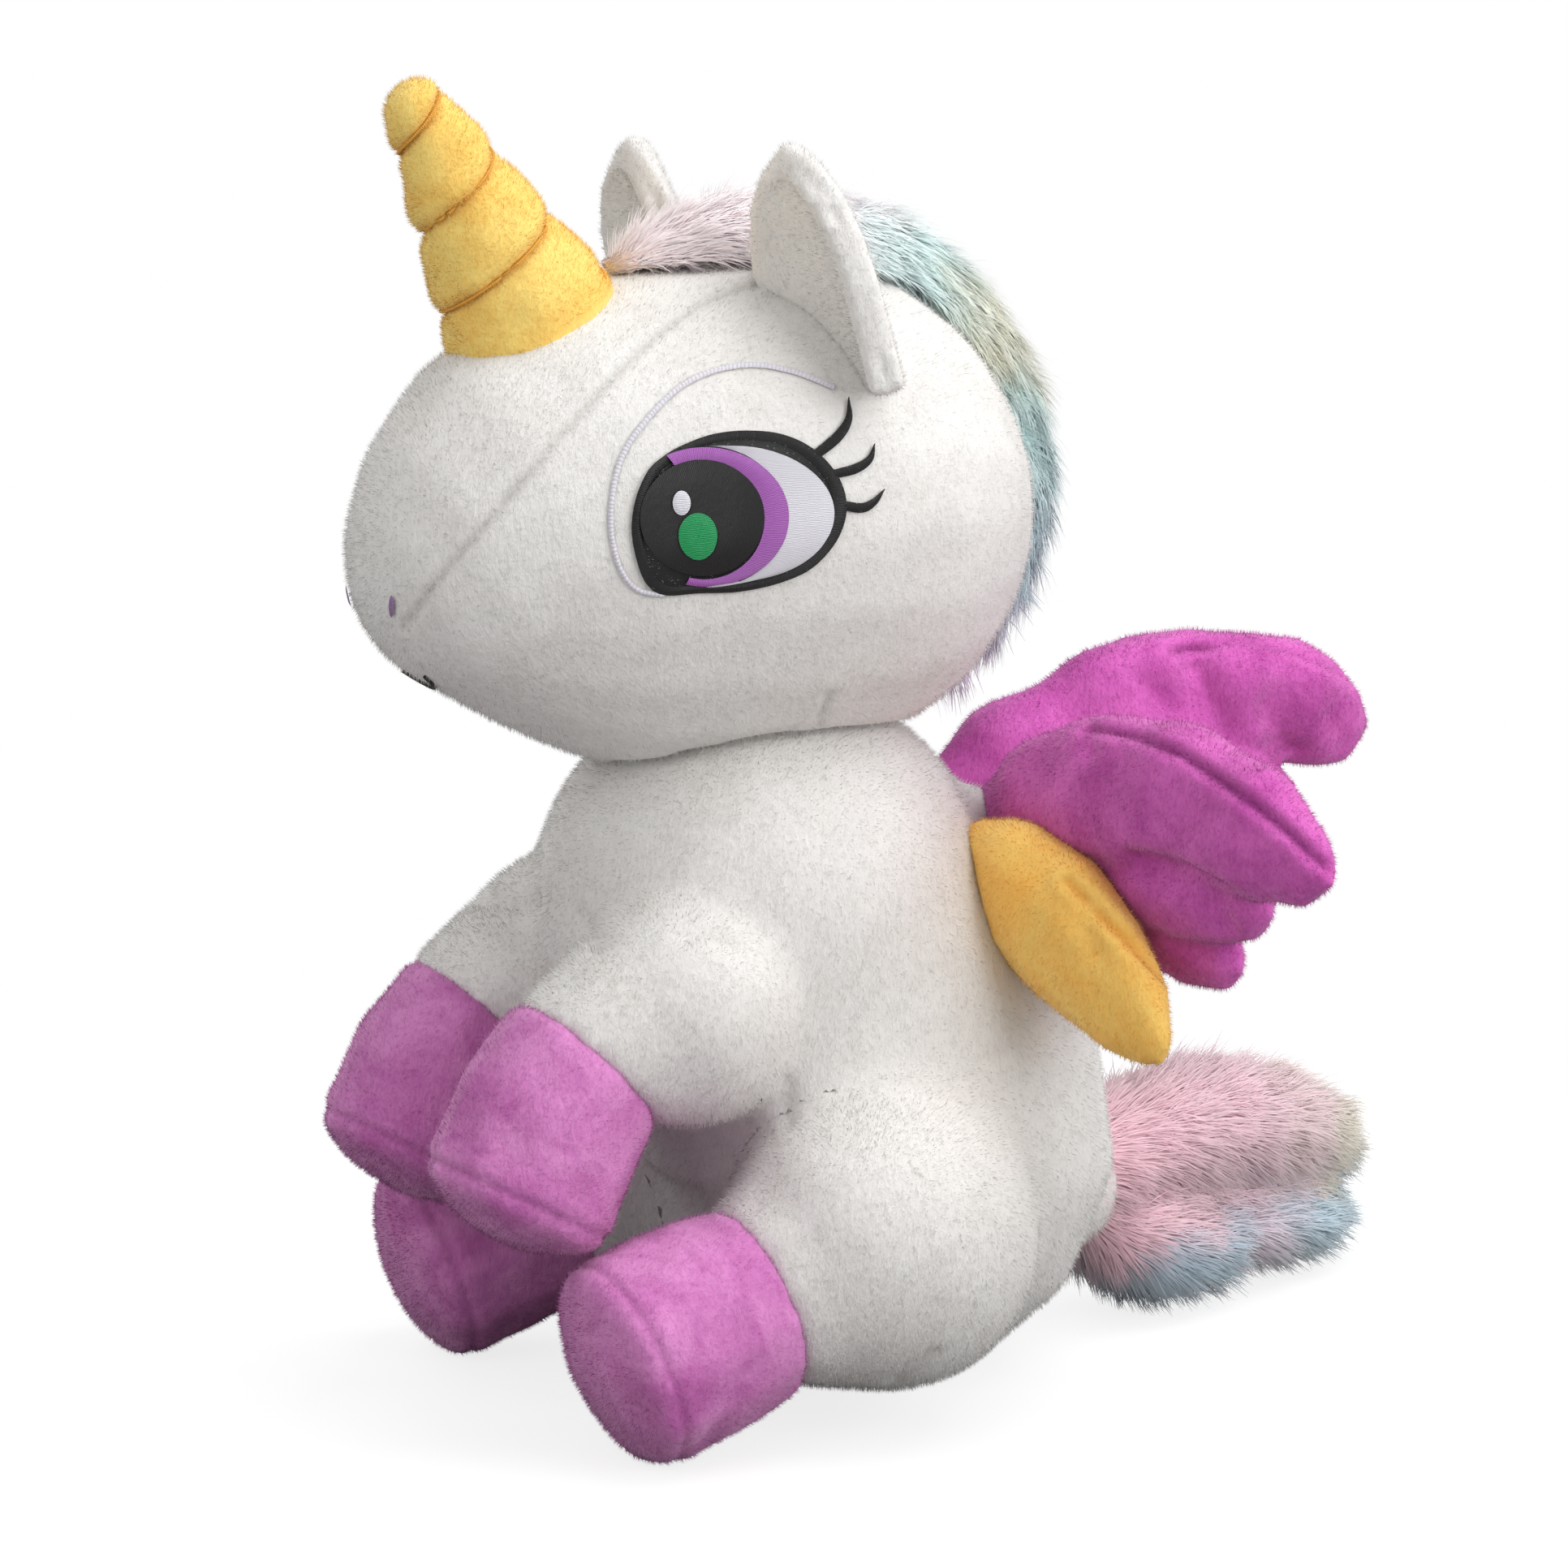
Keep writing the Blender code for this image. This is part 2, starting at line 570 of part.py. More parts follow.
def make_body(sockets):
    """The body, with every joint's socket cut in one go."""
    bm = bmesh.new()
    for mesh in sockets:
        bm.from_mesh(mesh)
    joined = cutter("sockets", finish(bm, "sockets"))
    cover = part("body_cover", body_form.roll("body_cover", AROUND_BODY, spread(ALONG_BODY)), WHITE)
    hollow = cutter("body_hollow", body_form.roll("body_hollow", AROUND_BODY, spread(ALONG_BODY), -WALL))
    filling = body_form.roll("body_stuffing", AROUND_FILLING, spread(ALONG_BODY), -INSIDE - BODY_SLACK)
    stuffing = part("body_stuffing", filling, FIBRE)
    top = neck + Vector((0.0, 0.0, NECK_RADIUS))
    neck_hole = cutter("neck_hole", rod("neck_hole", top, (0, 0, 1), NECK_HOLE_RADIUS, NECK_RADIUS))
    boolean(hollow, inner_floor)
    boolean(hollow, neck_hole, "UNION")
    boolean(stuffing, stuffing_floor)
    boolean(cover, floor)
    boolean(cover, hollow)
    boolean(cover, joined)
    boolean(stuffing, joined)
    seat = Vector((0.0, PELLET_BAG_Y, INSIDE + PELLET_BAG_LIFT * PELLET_BAG_HEIGHT))
    bags = []
    for name, grow in (("pellet_bag", 0.0), ("pellet_hollow", GAP)):
        size = Vector((PELLET_BAG_WIDTH, PELLET_BAG_WIDTH, PELLET_BAG_HEIGHT)) / 2
        mesh = ball(name, (0, 0, 0), 1.0, 16, 8)
        mesh.transform(Matrix.Translation(seat) @ Matrix.Diagonal((size.x + grow, size.y + grow, size.z + grow, 1)))
        bags.append(mesh)
    bag = part("pellet_bag", bags[0], FIBRE)
    boolean(bag, stuffing_floor)
    boolean(stuffing, cutter("pellet_hollow", bags[1]))


def on_head(mesh):
    mesh.transform(Matrix.Translation(-neck))
    return mesh


def make_head(empty):
    outside = head_form.roll("head_cover", AROUND_BODY, spread(ALONG_BODY))
    filling = head_form.roll("head_stuffing", AROUND_FILLING, spread(ALONG_BODY), -INSIDE - BODY_SLACK)
    cover = part("head_cover", on_head(outside), WHITE, empty)
    stuffing = part("head_stuffing", on_head(filling), FIBRE, empty)
    hollow = cutter("head_hollow", head_form.roll("head_hollow", AROUND_BODY, spread(ALONG_BODY), -WALL))
    boolean(cover, hollow)
    boolean(cover, neck_socket)
    boolean(stuffing, neck_socket)


def make_horn(empty):
    seat = head_form.point(HORN_AT, math.pi / 2)
    start = Vector((seat.y, seat.z))
    axis = Vector((-math.sin(HORN_LEAN), math.cos(HORN_LEAN)))
    length = HORN_ROOT + HORN_LENGTH
    root = HORN_ROOT / length
    tip = HORN_TIP_RADIUS / HORN_BASE_RADIUS

    def groove(share, angle):
        above = (share - root) / (1 - root)
        if above < 0:
            return 0.0
        turn = HORN_TURNS * above - angle / math.tau
        fade = min(1.0, above / HORN_FADE[0], (1 - above) / HORN_FADE[1])
        return HORN_GROOVE * fade * abs(math.cos(math.pi * turn)) ** 3

    profile = []
    for share in sorted((root, *HORN_STATIONS)):
        above = max(0.0, (share - root) / (1 - root))
        size = 1 + (tip - 1) * above**HORN_CURVE
        profile.append((share, size, size))
    spine = (start - axis * HORN_ROOT, start + axis * HORN_LENGTH)
    tiered = Form(spine, HORN_BASE_RADIUS, HORN_BASE_RADIUS, profile, ripple=groove)
    plain = Form(spine, HORN_BASE_RADIUS, HORN_BASE_RADIUS, profile)
    cover = part("horn_cover", on_head(tiered.roll("horn_cover", AROUND_LIMB, spread(ALONG_HORN))), GOLD, empty)
    hollow = cutter("horn_hollow", plain.roll("horn_hollow", AROUND_STUFFING, spread(ALONG_PILLOW), -WALL - HORN_GROOVE))
    stuffing = plain.roll("horn_stuffing", AROUND_STUFFING, spread(ALONG_PILLOW), -INSIDE - HORN_GROOVE)
    stuffing = part("horn_stuffing", on_head(stuffing), FIBRE, empty)
    boolean(cover, hollow)
    boolean(cover, head_skin)
    boolean(stuffing, head_skin)

    loops = THREAD_SHARE * HORN_TURNS
    count = int(loops * LOOP_POINTS)
    points = []
    for k in range(count + 1):
        turn = THREAD_FROM * HORN_TURNS + loops * k / count
        share = root + (1 - root) * turn / HORN_TURNS
        points.append(tiered.point(share, math.tau * turn, THREAD_RADIUS + 2 * GAP))
    gaps = [
        (a - b).length - 2 * THREAD_RADIUS
        for i, a in enumerate(points) for b in points[i + LOOP_POINTS // 2:]
    ]
    print(f"horn thread: least gap to itself {min(gaps) * 1000:.2f} mm")
    curve = bpy.data.curves.new("horn_thread", "CURVE")
    curve.dimensions = "3D"
    curve.bevel_depth = THREAD_RADIUS
    curve.bevel_resolution = 1
    curve.use_fill_caps = True
    spline = curve.splines.new("POLY")
    spline.points.add(count)
    for target, place in zip(spline.points, points):
        target.co = (*(place - neck), 1.0)
    thread = bpy.data.objects.new("horn_thread", curve)
    toy.objects.link(thread)
    thread.parent = empty
    curve.materials.append(fabric("horn_thread", GOLD))


def ear_mesh(name, side, out):
    """A cupped leaf, standing in the head's outline. Out lifts it towards the cup's hollow side."""
    seat = head_form.point(EAR_AT, EAR_ANGLE)
    up = Vector(EAR_UP).normalized()
    front = Vector((math.sin(EAR_FACE), -math.cos(EAR_FACE), 0.0))
    across = up.cross(front).normalized() * -1
    front = across.cross(up) * -1
    bm = bmesh.new()
    bmesh.ops.create_grid(bm, x_segments=EAR_CELLS, y_segments=EAR_CELLS, size=1.0)
    for vert in bm.verts:
        rise, v = (vert.co.x + 1) / 2, vert.co.y
        rise = 1 - (1 - rise) ** EAR_CROWDING
        past = max(0.0, (rise - EAR_BROADEST) / (1 - EAR_BROADEST))
        half = EAR_WIDTH / 2 * (1 - past ** EAR_TAPER[0]) ** EAR_TAPER[1]
        bow = EAR_CUP * (1 - v * v) * (1 - EAR_FLATTENING * rise)
        vert.co = seat + up * (rise * (EAR_LENGTH + EAR_ROOT) - EAR_ROOT) + across * (v * half) - front * bow
    bmesh.ops.remove_doubles(bm, verts=bm.verts, dist=1e-6)
    bm.normal_update()
    if sum(f.normal.dot(front) for f in bm.faces) < 0:
        bmesh.ops.reverse_faces(bm, faces=bm.faces)
        bm.normal_update()
    for vert, normal in [(v, v.normal.copy()) for v in bm.verts]:
        vert.co += normal * out
    bm.transform(mirrored(side))
    if side < 0:
        bmesh.ops.reverse_faces(bm, faces=bm.faces)
    return finish(bm, name)


def make_ears(empty):
    for word, side in SIDES:
        for name, out in (("ear_", 0.0), ("ear_lining_", EAR_WALL + GAP)):
            ear = part(name + word, on_head(ear_mesh(name + word, side, out)), WHITE, empty)
            sheet = ear.modifiers.new("fabric", "SOLIDIFY")
            sheet.thickness = EAR_WALL
            sheet.offset = -1.0
            boolean(ear, head_skin)


def make_mane(empty):
    """Long pile on the midline, from the forelock over the head to the nape."""
    top, back = math.pi / 2, -math.pi / 2
    line = [head_form.point(MANE_FRONT + (MANE_CROWN - MANE_FRONT) * k / 5, top) for k in range(6)]
    line += [head_form.point(MANE_BACK, back), head_form.point(MANE_NAPE, back)]
    form = Form([(p.y, p.z) for p in line], MANE_WIDTH / 2, MANE_LIFT, MANE_PROFILE)
    mane = part("mane", on_head(form.roll("mane", AROUND_LIMB, spread(ALONG_MANE))), PASTEL, empty)
    boolean(mane, head_skin)


def outline_prism(name, points, place, depth):
    """A flat outline drawn out along the place's local Z, as a closed mesh."""
    curve = bpy.data.curves.new(name, "CURVE")
    curve.dimensions = "2D"
    curve.fill_mode = "BOTH"
    curve.extrude = depth / 2
    spline = curve.splines.new("POLY")
    spline.points.add(len(points) - 1)
    for target, (x, y) in zip(spline.points, points):
        target.co = (x, y, 0.0, 1.0)
    spline.use_cyclic_u = True
    drawn = bpy.data.objects.new(name, curve)
    cutters.objects.link(drawn)
    bpy.context.view_layer.update()
    mesh = bpy.data.meshes.new_from_object(drawn.evaluated_get(bpy.context.evaluated_depsgraph_get()))
    bpy.data.objects.remove(drawn)
    bm = bmesh.new()
    bm.from_mesh(mesh)
    bmesh.ops.remove_doubles(bm, verts=bm.verts, dist=1e-6)
    bm.transform(place)
    if bm.calc_volume(signed=True) < 0:
        bmesh.ops.reverse_faces(bm, faces=bm.faces)
    return finish(bm, name)


def oval(middle, wide, tall, lean=0.0, count=20):
    points = []
    for k in range(count):
        a = math.tau * k / count
        x, y = wide / 2 * math.cos(a), tall / 2 * math.sin(a)
        points.append((
            middle[0] + x * math.cos(lean) - y * math.sin(lean), middle[1] + x * math.sin(lean) + y * math.cos(lean),
        ))
    return points


def stroke(points, widths):
    """A line of stitching along a few points, as an outline that widens and narrows."""
    left, right = [], []
    last = len(points) - 1
    for k, (point, width) in enumerate(zip(points, widths)):
        along = Vector(points[min(k + 1, last)]) - Vector(points[max(k - 1, 0)])
        along.normalize()
        across = Vector((-along.y, along.x)) * width / 2
        left.append(tuple(Vector(point) + across))
        right.append(tuple(Vector(point) - across))
    return left + right[::-1]


def arc_points(middle, wide, tall, start, end, count):
    turns = [start + (end - start) * k / (count - 1) for k in range(count)]
    return [(middle[0] + wide / 2 * math.cos(a), middle[1] + tall / 2 * math.sin(a)) for a in turns]


def stitched(name, mesh, colour, empty, low, high, joined=(), cut=()):
    """Embroidery: an outline's prism kept only in a thin layer on the head."""
    patch = part(name, on_head(mesh), colour, empty)
    for other in joined:
        boolean(patch, other, "UNION")
    for other in cut:
        boolean(patch, other)
    boolean(patch, high, "INTERSECT")
    boolean(patch, low)


def make_eye(word, side, empty):
    """The outline's x runs back from the nose and its y up from the middle of the skull."""
    def place_at(depth):
        x = side * depth
        return Matrix(((0, 0, 1, x), (1, 0, 0, nose_y), (0, 1, 0, head_z), (0, 0, 0, 1)))

    deep = HEAD_WIDTH / 2
    cheek = place_at(deep)

    def prism(name, points):
        return outline_prism(name + word, points, cheek, 1.6 * deep)

    def beside(off):
        return (EYE_BACK + off[0] * EYE_WIDTH, EYE_UP + off[1] * EYE_HEIGHT)

    def onward(place, length, turn):
        return (place[0] + length * math.cos(turn), place[1] + length * math.sin(turn))

    middle = (EYE_BACK, EYE_UP)
    lashes = []
    for k, (turn, length) in enumerate(LASHES):
        line = [arc_points(middle, LASH_FOOT * EYE_WIDTH, LASH_FOOT * EYE_HEIGHT, turn, turn, 2)[0]]
        for share, bend in LASH_BEND:
            line.append(onward(line[-1], share * length, turn + bend))
        name = f"lash_{k}_"
        lashes.append(cutter(name + word, prism(name, stroke(line, LASH_WIDTHS))))
    iris_middle = beside(IRIS_OFF)
    pupil_middle = beside(PUPIL_OFF)
    opening = oval(middle, EYE_WIDTH - 2 * EYE_RIM, EYE_HEIGHT - 2 * EYE_RIM)
    iris = oval(iris_middle, IRIS_WIDTH, IRIS_HEIGHT)
    iris_cut = cutter("iris_cut_" + word, prism("iris_cut_", oval(iris_middle, IRIS_WIDTH + GAP, IRIS_HEIGHT + GAP)))
    pupil_cut = cutter("pupil_cut_" + word, prism("pupil_cut_", oval(pupil_middle, PUPIL_WIDTH, PUPIL_HEIGHT)))
    opening_cut = cutter("opening_" + word, prism("opening_", opening))
    stitched("eye_black_" + word, prism("eye_black_", oval(middle, EYE_WIDTH, EYE_HEIGHT)), BLACK, empty,
             head_skin, head_thread, joined=lashes)
    stitched("eye_white_" + word, prism("eye_white_", opening), EYE_WHITE, empty,
             head_thread_skin, head_second_thread, cut=(iris_cut,))
    iris_patch = part("eye_iris_" + word, on_head(prism("eye_iris_", iris)), IRIS, empty)
    boolean(iris_patch, opening_cut, "INTERSECT")
    boolean(iris_patch, pupil_cut)
    boolean(iris_patch, head_second_thread, "INTERSECT")
    boolean(iris_patch, head_thread_skin)
    glint = oval(beside(GLINT_OFF), *GLINT_SIZE, GLINT_LEAN, 12)
    spark = oval(beside(SPARK_OFF), *SPARK_SIZE, 0.0, 14)
    stitched("eye_glint_" + word, prism("eye_glint_", glint), EYE_WHITE, empty, head_thread_skin, head_second_thread)
    stitched("eye_spark_" + word, prism("eye_spark_", spark), GREEN, empty, head_thread_skin, head_second_thread)
    line = arc_points(middle, EYE_WIDTH + 2 * BROW_OUT, EYE_HEIGHT + 2 * BROW_UP, *BROW_ARC, BROW_POINTS)
    brow = stroke(line, [BROW_WIDTH] * len(line))
    stitched("brow_" + word, prism("brow_", brow), BROW, empty, head_skin, head_thread)


def make_muzzle(empty):
    """Nostrils and mouth, stitched on the front of the muzzle."""
    front = Matrix(((1, 0, 0, 0), (0, 0, -1, nose_y), (0, 1, 0, head_z - NOSE_DROP), (0, 0, 0, 1)))
    depth = 0.5 * HEAD_LENGTH
    for word, side in SIDES:
        name = "nostril_" + word
        nostril = oval((side * NOSTRIL_APART / 2, NOSTRIL_UP), *NOSTRIL_SIZE, 0.0, 10)
        stitched(name, outline_prism(name, nostril, front, depth), IRIS, empty, head_skin, head_thread)
    smile = arc_points((0.0, MOUTH_UP), MOUTH_WIDTH, MOUTH_DIP, math.pi, math.tau, BROW_POINTS)
    mesh = outline_prism("mouth", stroke(smile, [MOUTH_LINE] * len(smile)), front, depth)
    stitched("mouth", mesh, BLACK, empty, head_skin, head_thread)


def wing_frame(side):
    """The spread wing's own axes: out of its front, along the feathers and up the sewn line."""
    up = Vector((0.0, -math.sin(WING_TILT), math.cos(WING_TILT)))
    back = Vector((0.0, math.cos(WING_TILT), math.sin(WING_TILT)))
    along = Vector((side * math.sin(WING_OPEN), 0.0, 0.0)) + back * math.cos(WING_OPEN)
    front = along.cross(up) * side
    return front, along, up


def make_wing(word, side):
    """Feathers and a leaf on a leaning hinge, built spread and then swung back to how the wing rests."""
    front, along, up = wing_frame(side)
    frame = Matrix((front, along, up)).transposed().to_4x4()
    feathers = [
        Form(spine, thick / 2, tall / 2, FEATHER_PROFILE, place=Matrix.Translation(-front * step) @ frame)
        for spine, tall, thick, step in FEATHERS
    ]
    leaf = Form(
        LEAF_SPINE, LEAF_THICKNESS / 2, LEAF_WIDTH / 2, LEAF_PROFILE,
        place=Matrix.Translation(front * LEAF_FORWARD) @ frame,
    )
    ring = [feathers[0].point(s / 80, math.tau * a / SAMPLES) for s in range(16) for a in range(SAMPLES)]
    root_reach = max((p - up * p.dot(up)).length for p in ring if p.dot(along) < WING_ROOT_SPAN)
    back = [body_form.point(s / 80, a / 40 - math.pi / 2) for s in range(40, 80) for a in range(40)]
    skin = min(back, key=lambda p: (p.x - WING_X) ** 2 + (p.z - WING_Z) ** 2)
    place = Vector((side * WING_X, skin.y + root_reach - WING_BITE, WING_Z))
    empty = hinge("wing_" + word + "_joint", place)
    empty.rotation_mode = "QUATERNION"
    empty.rotation_quaternion = Matrix.Rotation(WING_FOLD[word] * side, 3, up).to_quaternion()

    def carried(thing):
        thing.parent = empty
        return thing

    def feather_set(name, colour, out):
        first = feathers[0].roll(name, AROUND_LIMB, spread(ALONG_FEATHER), out)
        thing = part(name, first, colour, empty) if colour else carried(cutter(name, first))
        for k, form in enumerate(feathers[1:]):
            lobe = name + f"_lobe_{k}"
            mesh = form.roll(lobe, AROUND_STUFFING, spread(ALONG_LOCK), out)
            boolean(thing, carried(cutter(lobe, mesh)), "UNION")
        return thing

    cover = feather_set("wing_feathers_" + word, PURPLE, 0.0)
    hollow = feather_set("feather_hollow_" + word, None, -WALL)
    feather_set("wing_stuffing_" + word, FIBRE, -INSIDE)
    mouth = "feather_mouth_" + word
    opening = rod(mouth, (0.0, 0.0, 0.0), along, TURNING_HOLE, MOUTH_DEPTH)
    boolean(hollow, carried(cutter(mouth, opening)), "UNION")
    boolean(cover, hollow)

    def clear_of(thing, grow):
        """Cuts the leaf back from the toy's back and from the feathers."""
        name = thing.name + "_back"
        back = body_form.roll(name, AROUND_BODY, spread(ALONG_BODY), grow)
        back.transform(Matrix.Translation(-place))
        boolean(thing, carried(cutter(name, back)))
        for k, form in enumerate(feathers):
            name = thing.name + f"_feather_{k}"
            boolean(thing, carried(cutter(name, form.roll(name, AROUND_LIMB, spread(ALONG_PILLOW), grow))))

    outside = leaf.roll("wing_leaf_" + word, AROUND_LIMB, spread(ALONG_PILLOW))
    leaf_cover = part("wing_leaf_" + word, outside, GOLD, empty)
    clear_of(leaf_cover, GAP)
    inner = leaf.roll("leaf_hollow_" + word, AROUND_LIMB, spread(ALONG_PILLOW), -WALL)
    hollow = carried(cutter("leaf_hollow_" + word, inner))
    clear_of(hollow, GAP + WALL)
    middle = leaf.place @ Vector((0.0, *leaf.middle(LEAF_MOUTH_AT)))
    mouth = "leaf_mouth_" + word
    opening = rod(mouth, middle - front * MOUTH_DEPTH / 4, front, TURNING_HOLE, MOUTH_DEPTH / 2)
    boolean(hollow, carried(cutter(mouth, opening)), "UNION")
    boolean(leaf_cover, hollow)
    filling = leaf.roll("leaf_stuffing_" + word, AROUND_LIMB, spread(ALONG_PILLOW), -INSIDE)
    leaf_stuffing = part("leaf_stuffing_" + word, filling, FIBRE, empty)
    clear_of(leaf_stuffing, GAP + INSIDE)
    low, high = (min(p.dot(up) for p in ring), max(p.dot(up) for p in ring))
    return rod("wing_socket_" + word, place + up * (low + high) / 2, up, root_reach + GAP, high - low)


body_sockets = make_legs()
body_sockets.append(make_tail())
for wing_word, wing_side in SIDES:
    body_sockets.append(make_wing(wing_word, wing_side))
make_body(body_sockets)
neck_joint = hinge("neck_joint", neck)
make_head(neck_joint)
make_horn(neck_joint)
make_ears(neck_joint)
make_mane(neck_joint)
for eye_word, eye_side in SIDES:
    make_eye(eye_word, eye_side, neck_joint)
make_muzzle(neck_joint)
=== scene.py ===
import math

import bmesh
import bpy
import numpy as np
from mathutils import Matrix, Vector
from mathutils.bvhtree import BVHTree


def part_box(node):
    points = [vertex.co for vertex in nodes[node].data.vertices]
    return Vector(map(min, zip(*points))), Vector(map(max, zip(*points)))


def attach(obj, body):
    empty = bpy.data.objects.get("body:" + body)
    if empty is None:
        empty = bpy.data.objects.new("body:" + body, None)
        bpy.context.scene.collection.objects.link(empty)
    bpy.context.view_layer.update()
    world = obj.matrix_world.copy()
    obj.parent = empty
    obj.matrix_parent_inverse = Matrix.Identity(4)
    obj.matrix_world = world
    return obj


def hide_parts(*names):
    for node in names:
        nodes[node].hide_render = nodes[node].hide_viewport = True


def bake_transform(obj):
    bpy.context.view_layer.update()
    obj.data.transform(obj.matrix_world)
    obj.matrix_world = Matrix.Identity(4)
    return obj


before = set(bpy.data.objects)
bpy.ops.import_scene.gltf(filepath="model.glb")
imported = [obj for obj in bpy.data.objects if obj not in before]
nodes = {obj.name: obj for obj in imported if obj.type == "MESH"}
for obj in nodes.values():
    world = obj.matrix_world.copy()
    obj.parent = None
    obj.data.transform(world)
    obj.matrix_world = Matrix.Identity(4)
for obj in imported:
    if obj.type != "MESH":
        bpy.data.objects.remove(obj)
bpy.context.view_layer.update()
scene = bpy.context.scene
sides = (("left", 1), ("right", -1))
neck = Vector((0, -0.018, 0.111))


# picking and joining
def deselect():
    bpy.ops.object.select_all(action="DESELECT")


def makeActive(piece):
    deselect()
    piece.select_set(True)
    bpy.context.view_layer.objects.active = piece


def weld(piece, hull=False):
    makeActive(piece)
    bpy.ops.object.mode_set(mode="EDIT")
    bpy.ops.mesh.select_all(action="SELECT")
    bpy.ops.mesh.remove_doubles(threshold=1e-5)
    if hull:
        bpy.ops.mesh.convex_hull()
    bpy.ops.object.mode_set(mode="OBJECT")


def faceOut(piece):
    makeActive(piece)
    bpy.ops.object.mode_set(mode="EDIT")
    bpy.ops.mesh.select_all(action="SELECT")
    bpy.ops.mesh.normals_make_consistent(inside=False)
    bpy.ops.object.mode_set(mode="OBJECT")


def joinAll(name, parts):
    deselect()
    for thing in parts:
        thing.select_set(True)
    bpy.context.view_layer.objects.active = parts[0]
    if len(parts) > 1:
        bpy.ops.object.join()
    parts[0].name = name
    parts[0].data.name = name
    return parts[0]


def copyNode(name, hull=False):
    piece = bpy.data.objects.new(name + "Copy", nodes[name].data.copy())
    piece.data.materials.clear()
    scene.collection.objects.link(piece)
    weld(piece, hull)
    return piece


def ballAt(place, radius):
    deselect()
    bpy.ops.mesh.primitive_uv_sphere_add(segments=40, ring_count=20, radius=radius, location=place)
    bpy.ops.object.transform_apply(location=True, rotation=True, scale=True)
    return bpy.context.object


# shaping
def applyModifier(piece, kind, **settings):
    makeActive(piece)
    modifier = piece.modifiers.new(kind, kind)
    for key, value in settings.items():
        setattr(modifier, key, value)
    bpy.ops.object.modifier_apply(modifier=modifier.name)


def runs(wanted, near):
    # groups of linked things, the largest last
    left, found = set(wanted), []
    while left:
        edge, run = [left.pop()], []
        while edge:
            thing = edge.pop()
            run.append(thing)
            for other in near(thing):
                if other in left:
                    left.discard(other)
                    edge.append(other)
        found.append(run)
    return sorted(found, key=len)


def outerSkin(piece):
    mesh = bmesh.new()
    mesh.from_mesh(piece.data)
    groups = runs(mesh.verts, lambda vert: [link.other_vert(vert) for link in vert.link_edges])
    bmesh.ops.delete(mesh, geom=[vert for run in groups[:-1] for vert in run], context="VERTS")
    mesh.to_mesh(piece.data)
    mesh.free()


def finer(piece):
    applyModifier(piece, "SUBSURF", levels=1, render_levels=1)


def remesh(piece, voxel, smooth):
    makeActive(piece)
    piece.data.remesh_voxel_size = voxel
    piece.data.remesh_voxel_adaptivity = 0
    bpy.ops.object.voxel_remesh()
    outerSkin(piece)
    applyModifier(piece, "SMOOTH", factor=0.5, iterations=smooth)


def coords(piece):
    flat = np.empty(len(piece.data.vertices) * 3, np.float32)
    piece.data.vertices.foreach_get("co", flat)
    return flat.reshape(-1, 3).astype(float)


def normals(piece):
    flat = np.empty(len(piece.data.vertices) * 3, np.float32)
    piece.data.vertex_normals.foreach_get("vector", flat)
    return flat.reshape(-1, 3).astype(float)


def setCoords(piece, points):
    piece.data.vertices.foreach_set("co", points.astype(np.float32).ravel())
    piece.data.update()


def swell(piece, amount):
    setCoords(piece, coords(piece) + normals(piece) * amount)


cloth = {"use_pressure": True, "tension_stiffness": 12, "compression_stiffness": 12, "bending_stiffness": 0.4,
         "quality": 5}


def puff(piece, pressure, cap, frames=16):
    # blown up like a stuffed bag, but no vertex moves farther than cap
    before = coords(piece)
    makeActive(piece)
    modifier = piece.modifiers.new("stuffed", "CLOTH")
    for key, value in cloth.items():
        setattr(modifier.settings, key, value)
    modifier.settings.effector_weights.gravity = 0
    modifier.settings.uniform_pressure_force = pressure
    modifier.collision_settings.use_collision = False
    modifier.point_cache.frame_start = 1
    modifier.point_cache.frame_end = frames
    for number in range(1, frames + 1):
        scene.frame_set(number)
    bpy.ops.object.modifier_apply(modifier=modifier.name)
    scene.frame_set(1)
    move = coords(piece) - before
    far = np.linalg.norm(move, axis=1, keepdims=True)
    setCoords(piece, before + move * np.minimum(1, cap / np.maximum(far, 1e-9)))


def toLine(points, line):
    # nearest distance from each point to a line of points
    best = np.full(len(points), 1e9)
    line = [np.array(p, float) for p in line]
    for a, b in zip(line, line[1:]):
        along = b - a
        share = np.clip((points - a) @ along / max(along @ along, 1e-12), 0, 1)
        best = np.minimum(best, np.linalg.norm(points - a - share[:, None] * along, axis=1))
    return best


def addMark(piece, name, values):
    mark = piece.data.attributes.get(name) or piece.data.attributes.new(name, "FLOAT", "POINT")
    mark.data.foreach_set("value", np.asarray(values, np.float32))


def pressSeams(piece, lines, depth, wide, rise=0.0, mark=1.0):
    points = coords(piece)
    near = np.zeros(len(points))
    puffed = np.zeros(len(points))
    for line in lines:
        far = toLine(points, line)
        near = np.maximum(near, np.exp(-(far / wide) ** 2))
        puffed = np.maximum(puffed, np.exp(-((far - 2.6 * wide) / (1.6 * wide)) ** 2))
    setCoords(piece, points + normals(piece) * (rise * puffed - depth * near)[:, None])
    # seam mark: how much painted seam shade the nap material mixes in, mark times nearness to the seam
    old = piece.data.attributes.get("seam")
    if old:
        was = np.empty(len(points), np.float32)
        old.data.foreach_get("value", was)
        addMark(piece, "seam", np.maximum(near * mark, was))
    else:
        addMark(piece, "seam", near * mark)


def wobble(points, size, seed):
    # smooth three-way ripples, the same on every run
    rng = np.random.default_rng(seed)
    total = np.zeros(len(points))
    for _ in range(7):
        way = rng.normal(size=3)
        way *= 2 * math.pi / size * rng.uniform(0.7, 1.4) / np.linalg.norm(way)
        total += np.sin(points @ way + rng.uniform(0, 6.28))
    return total / 3.0


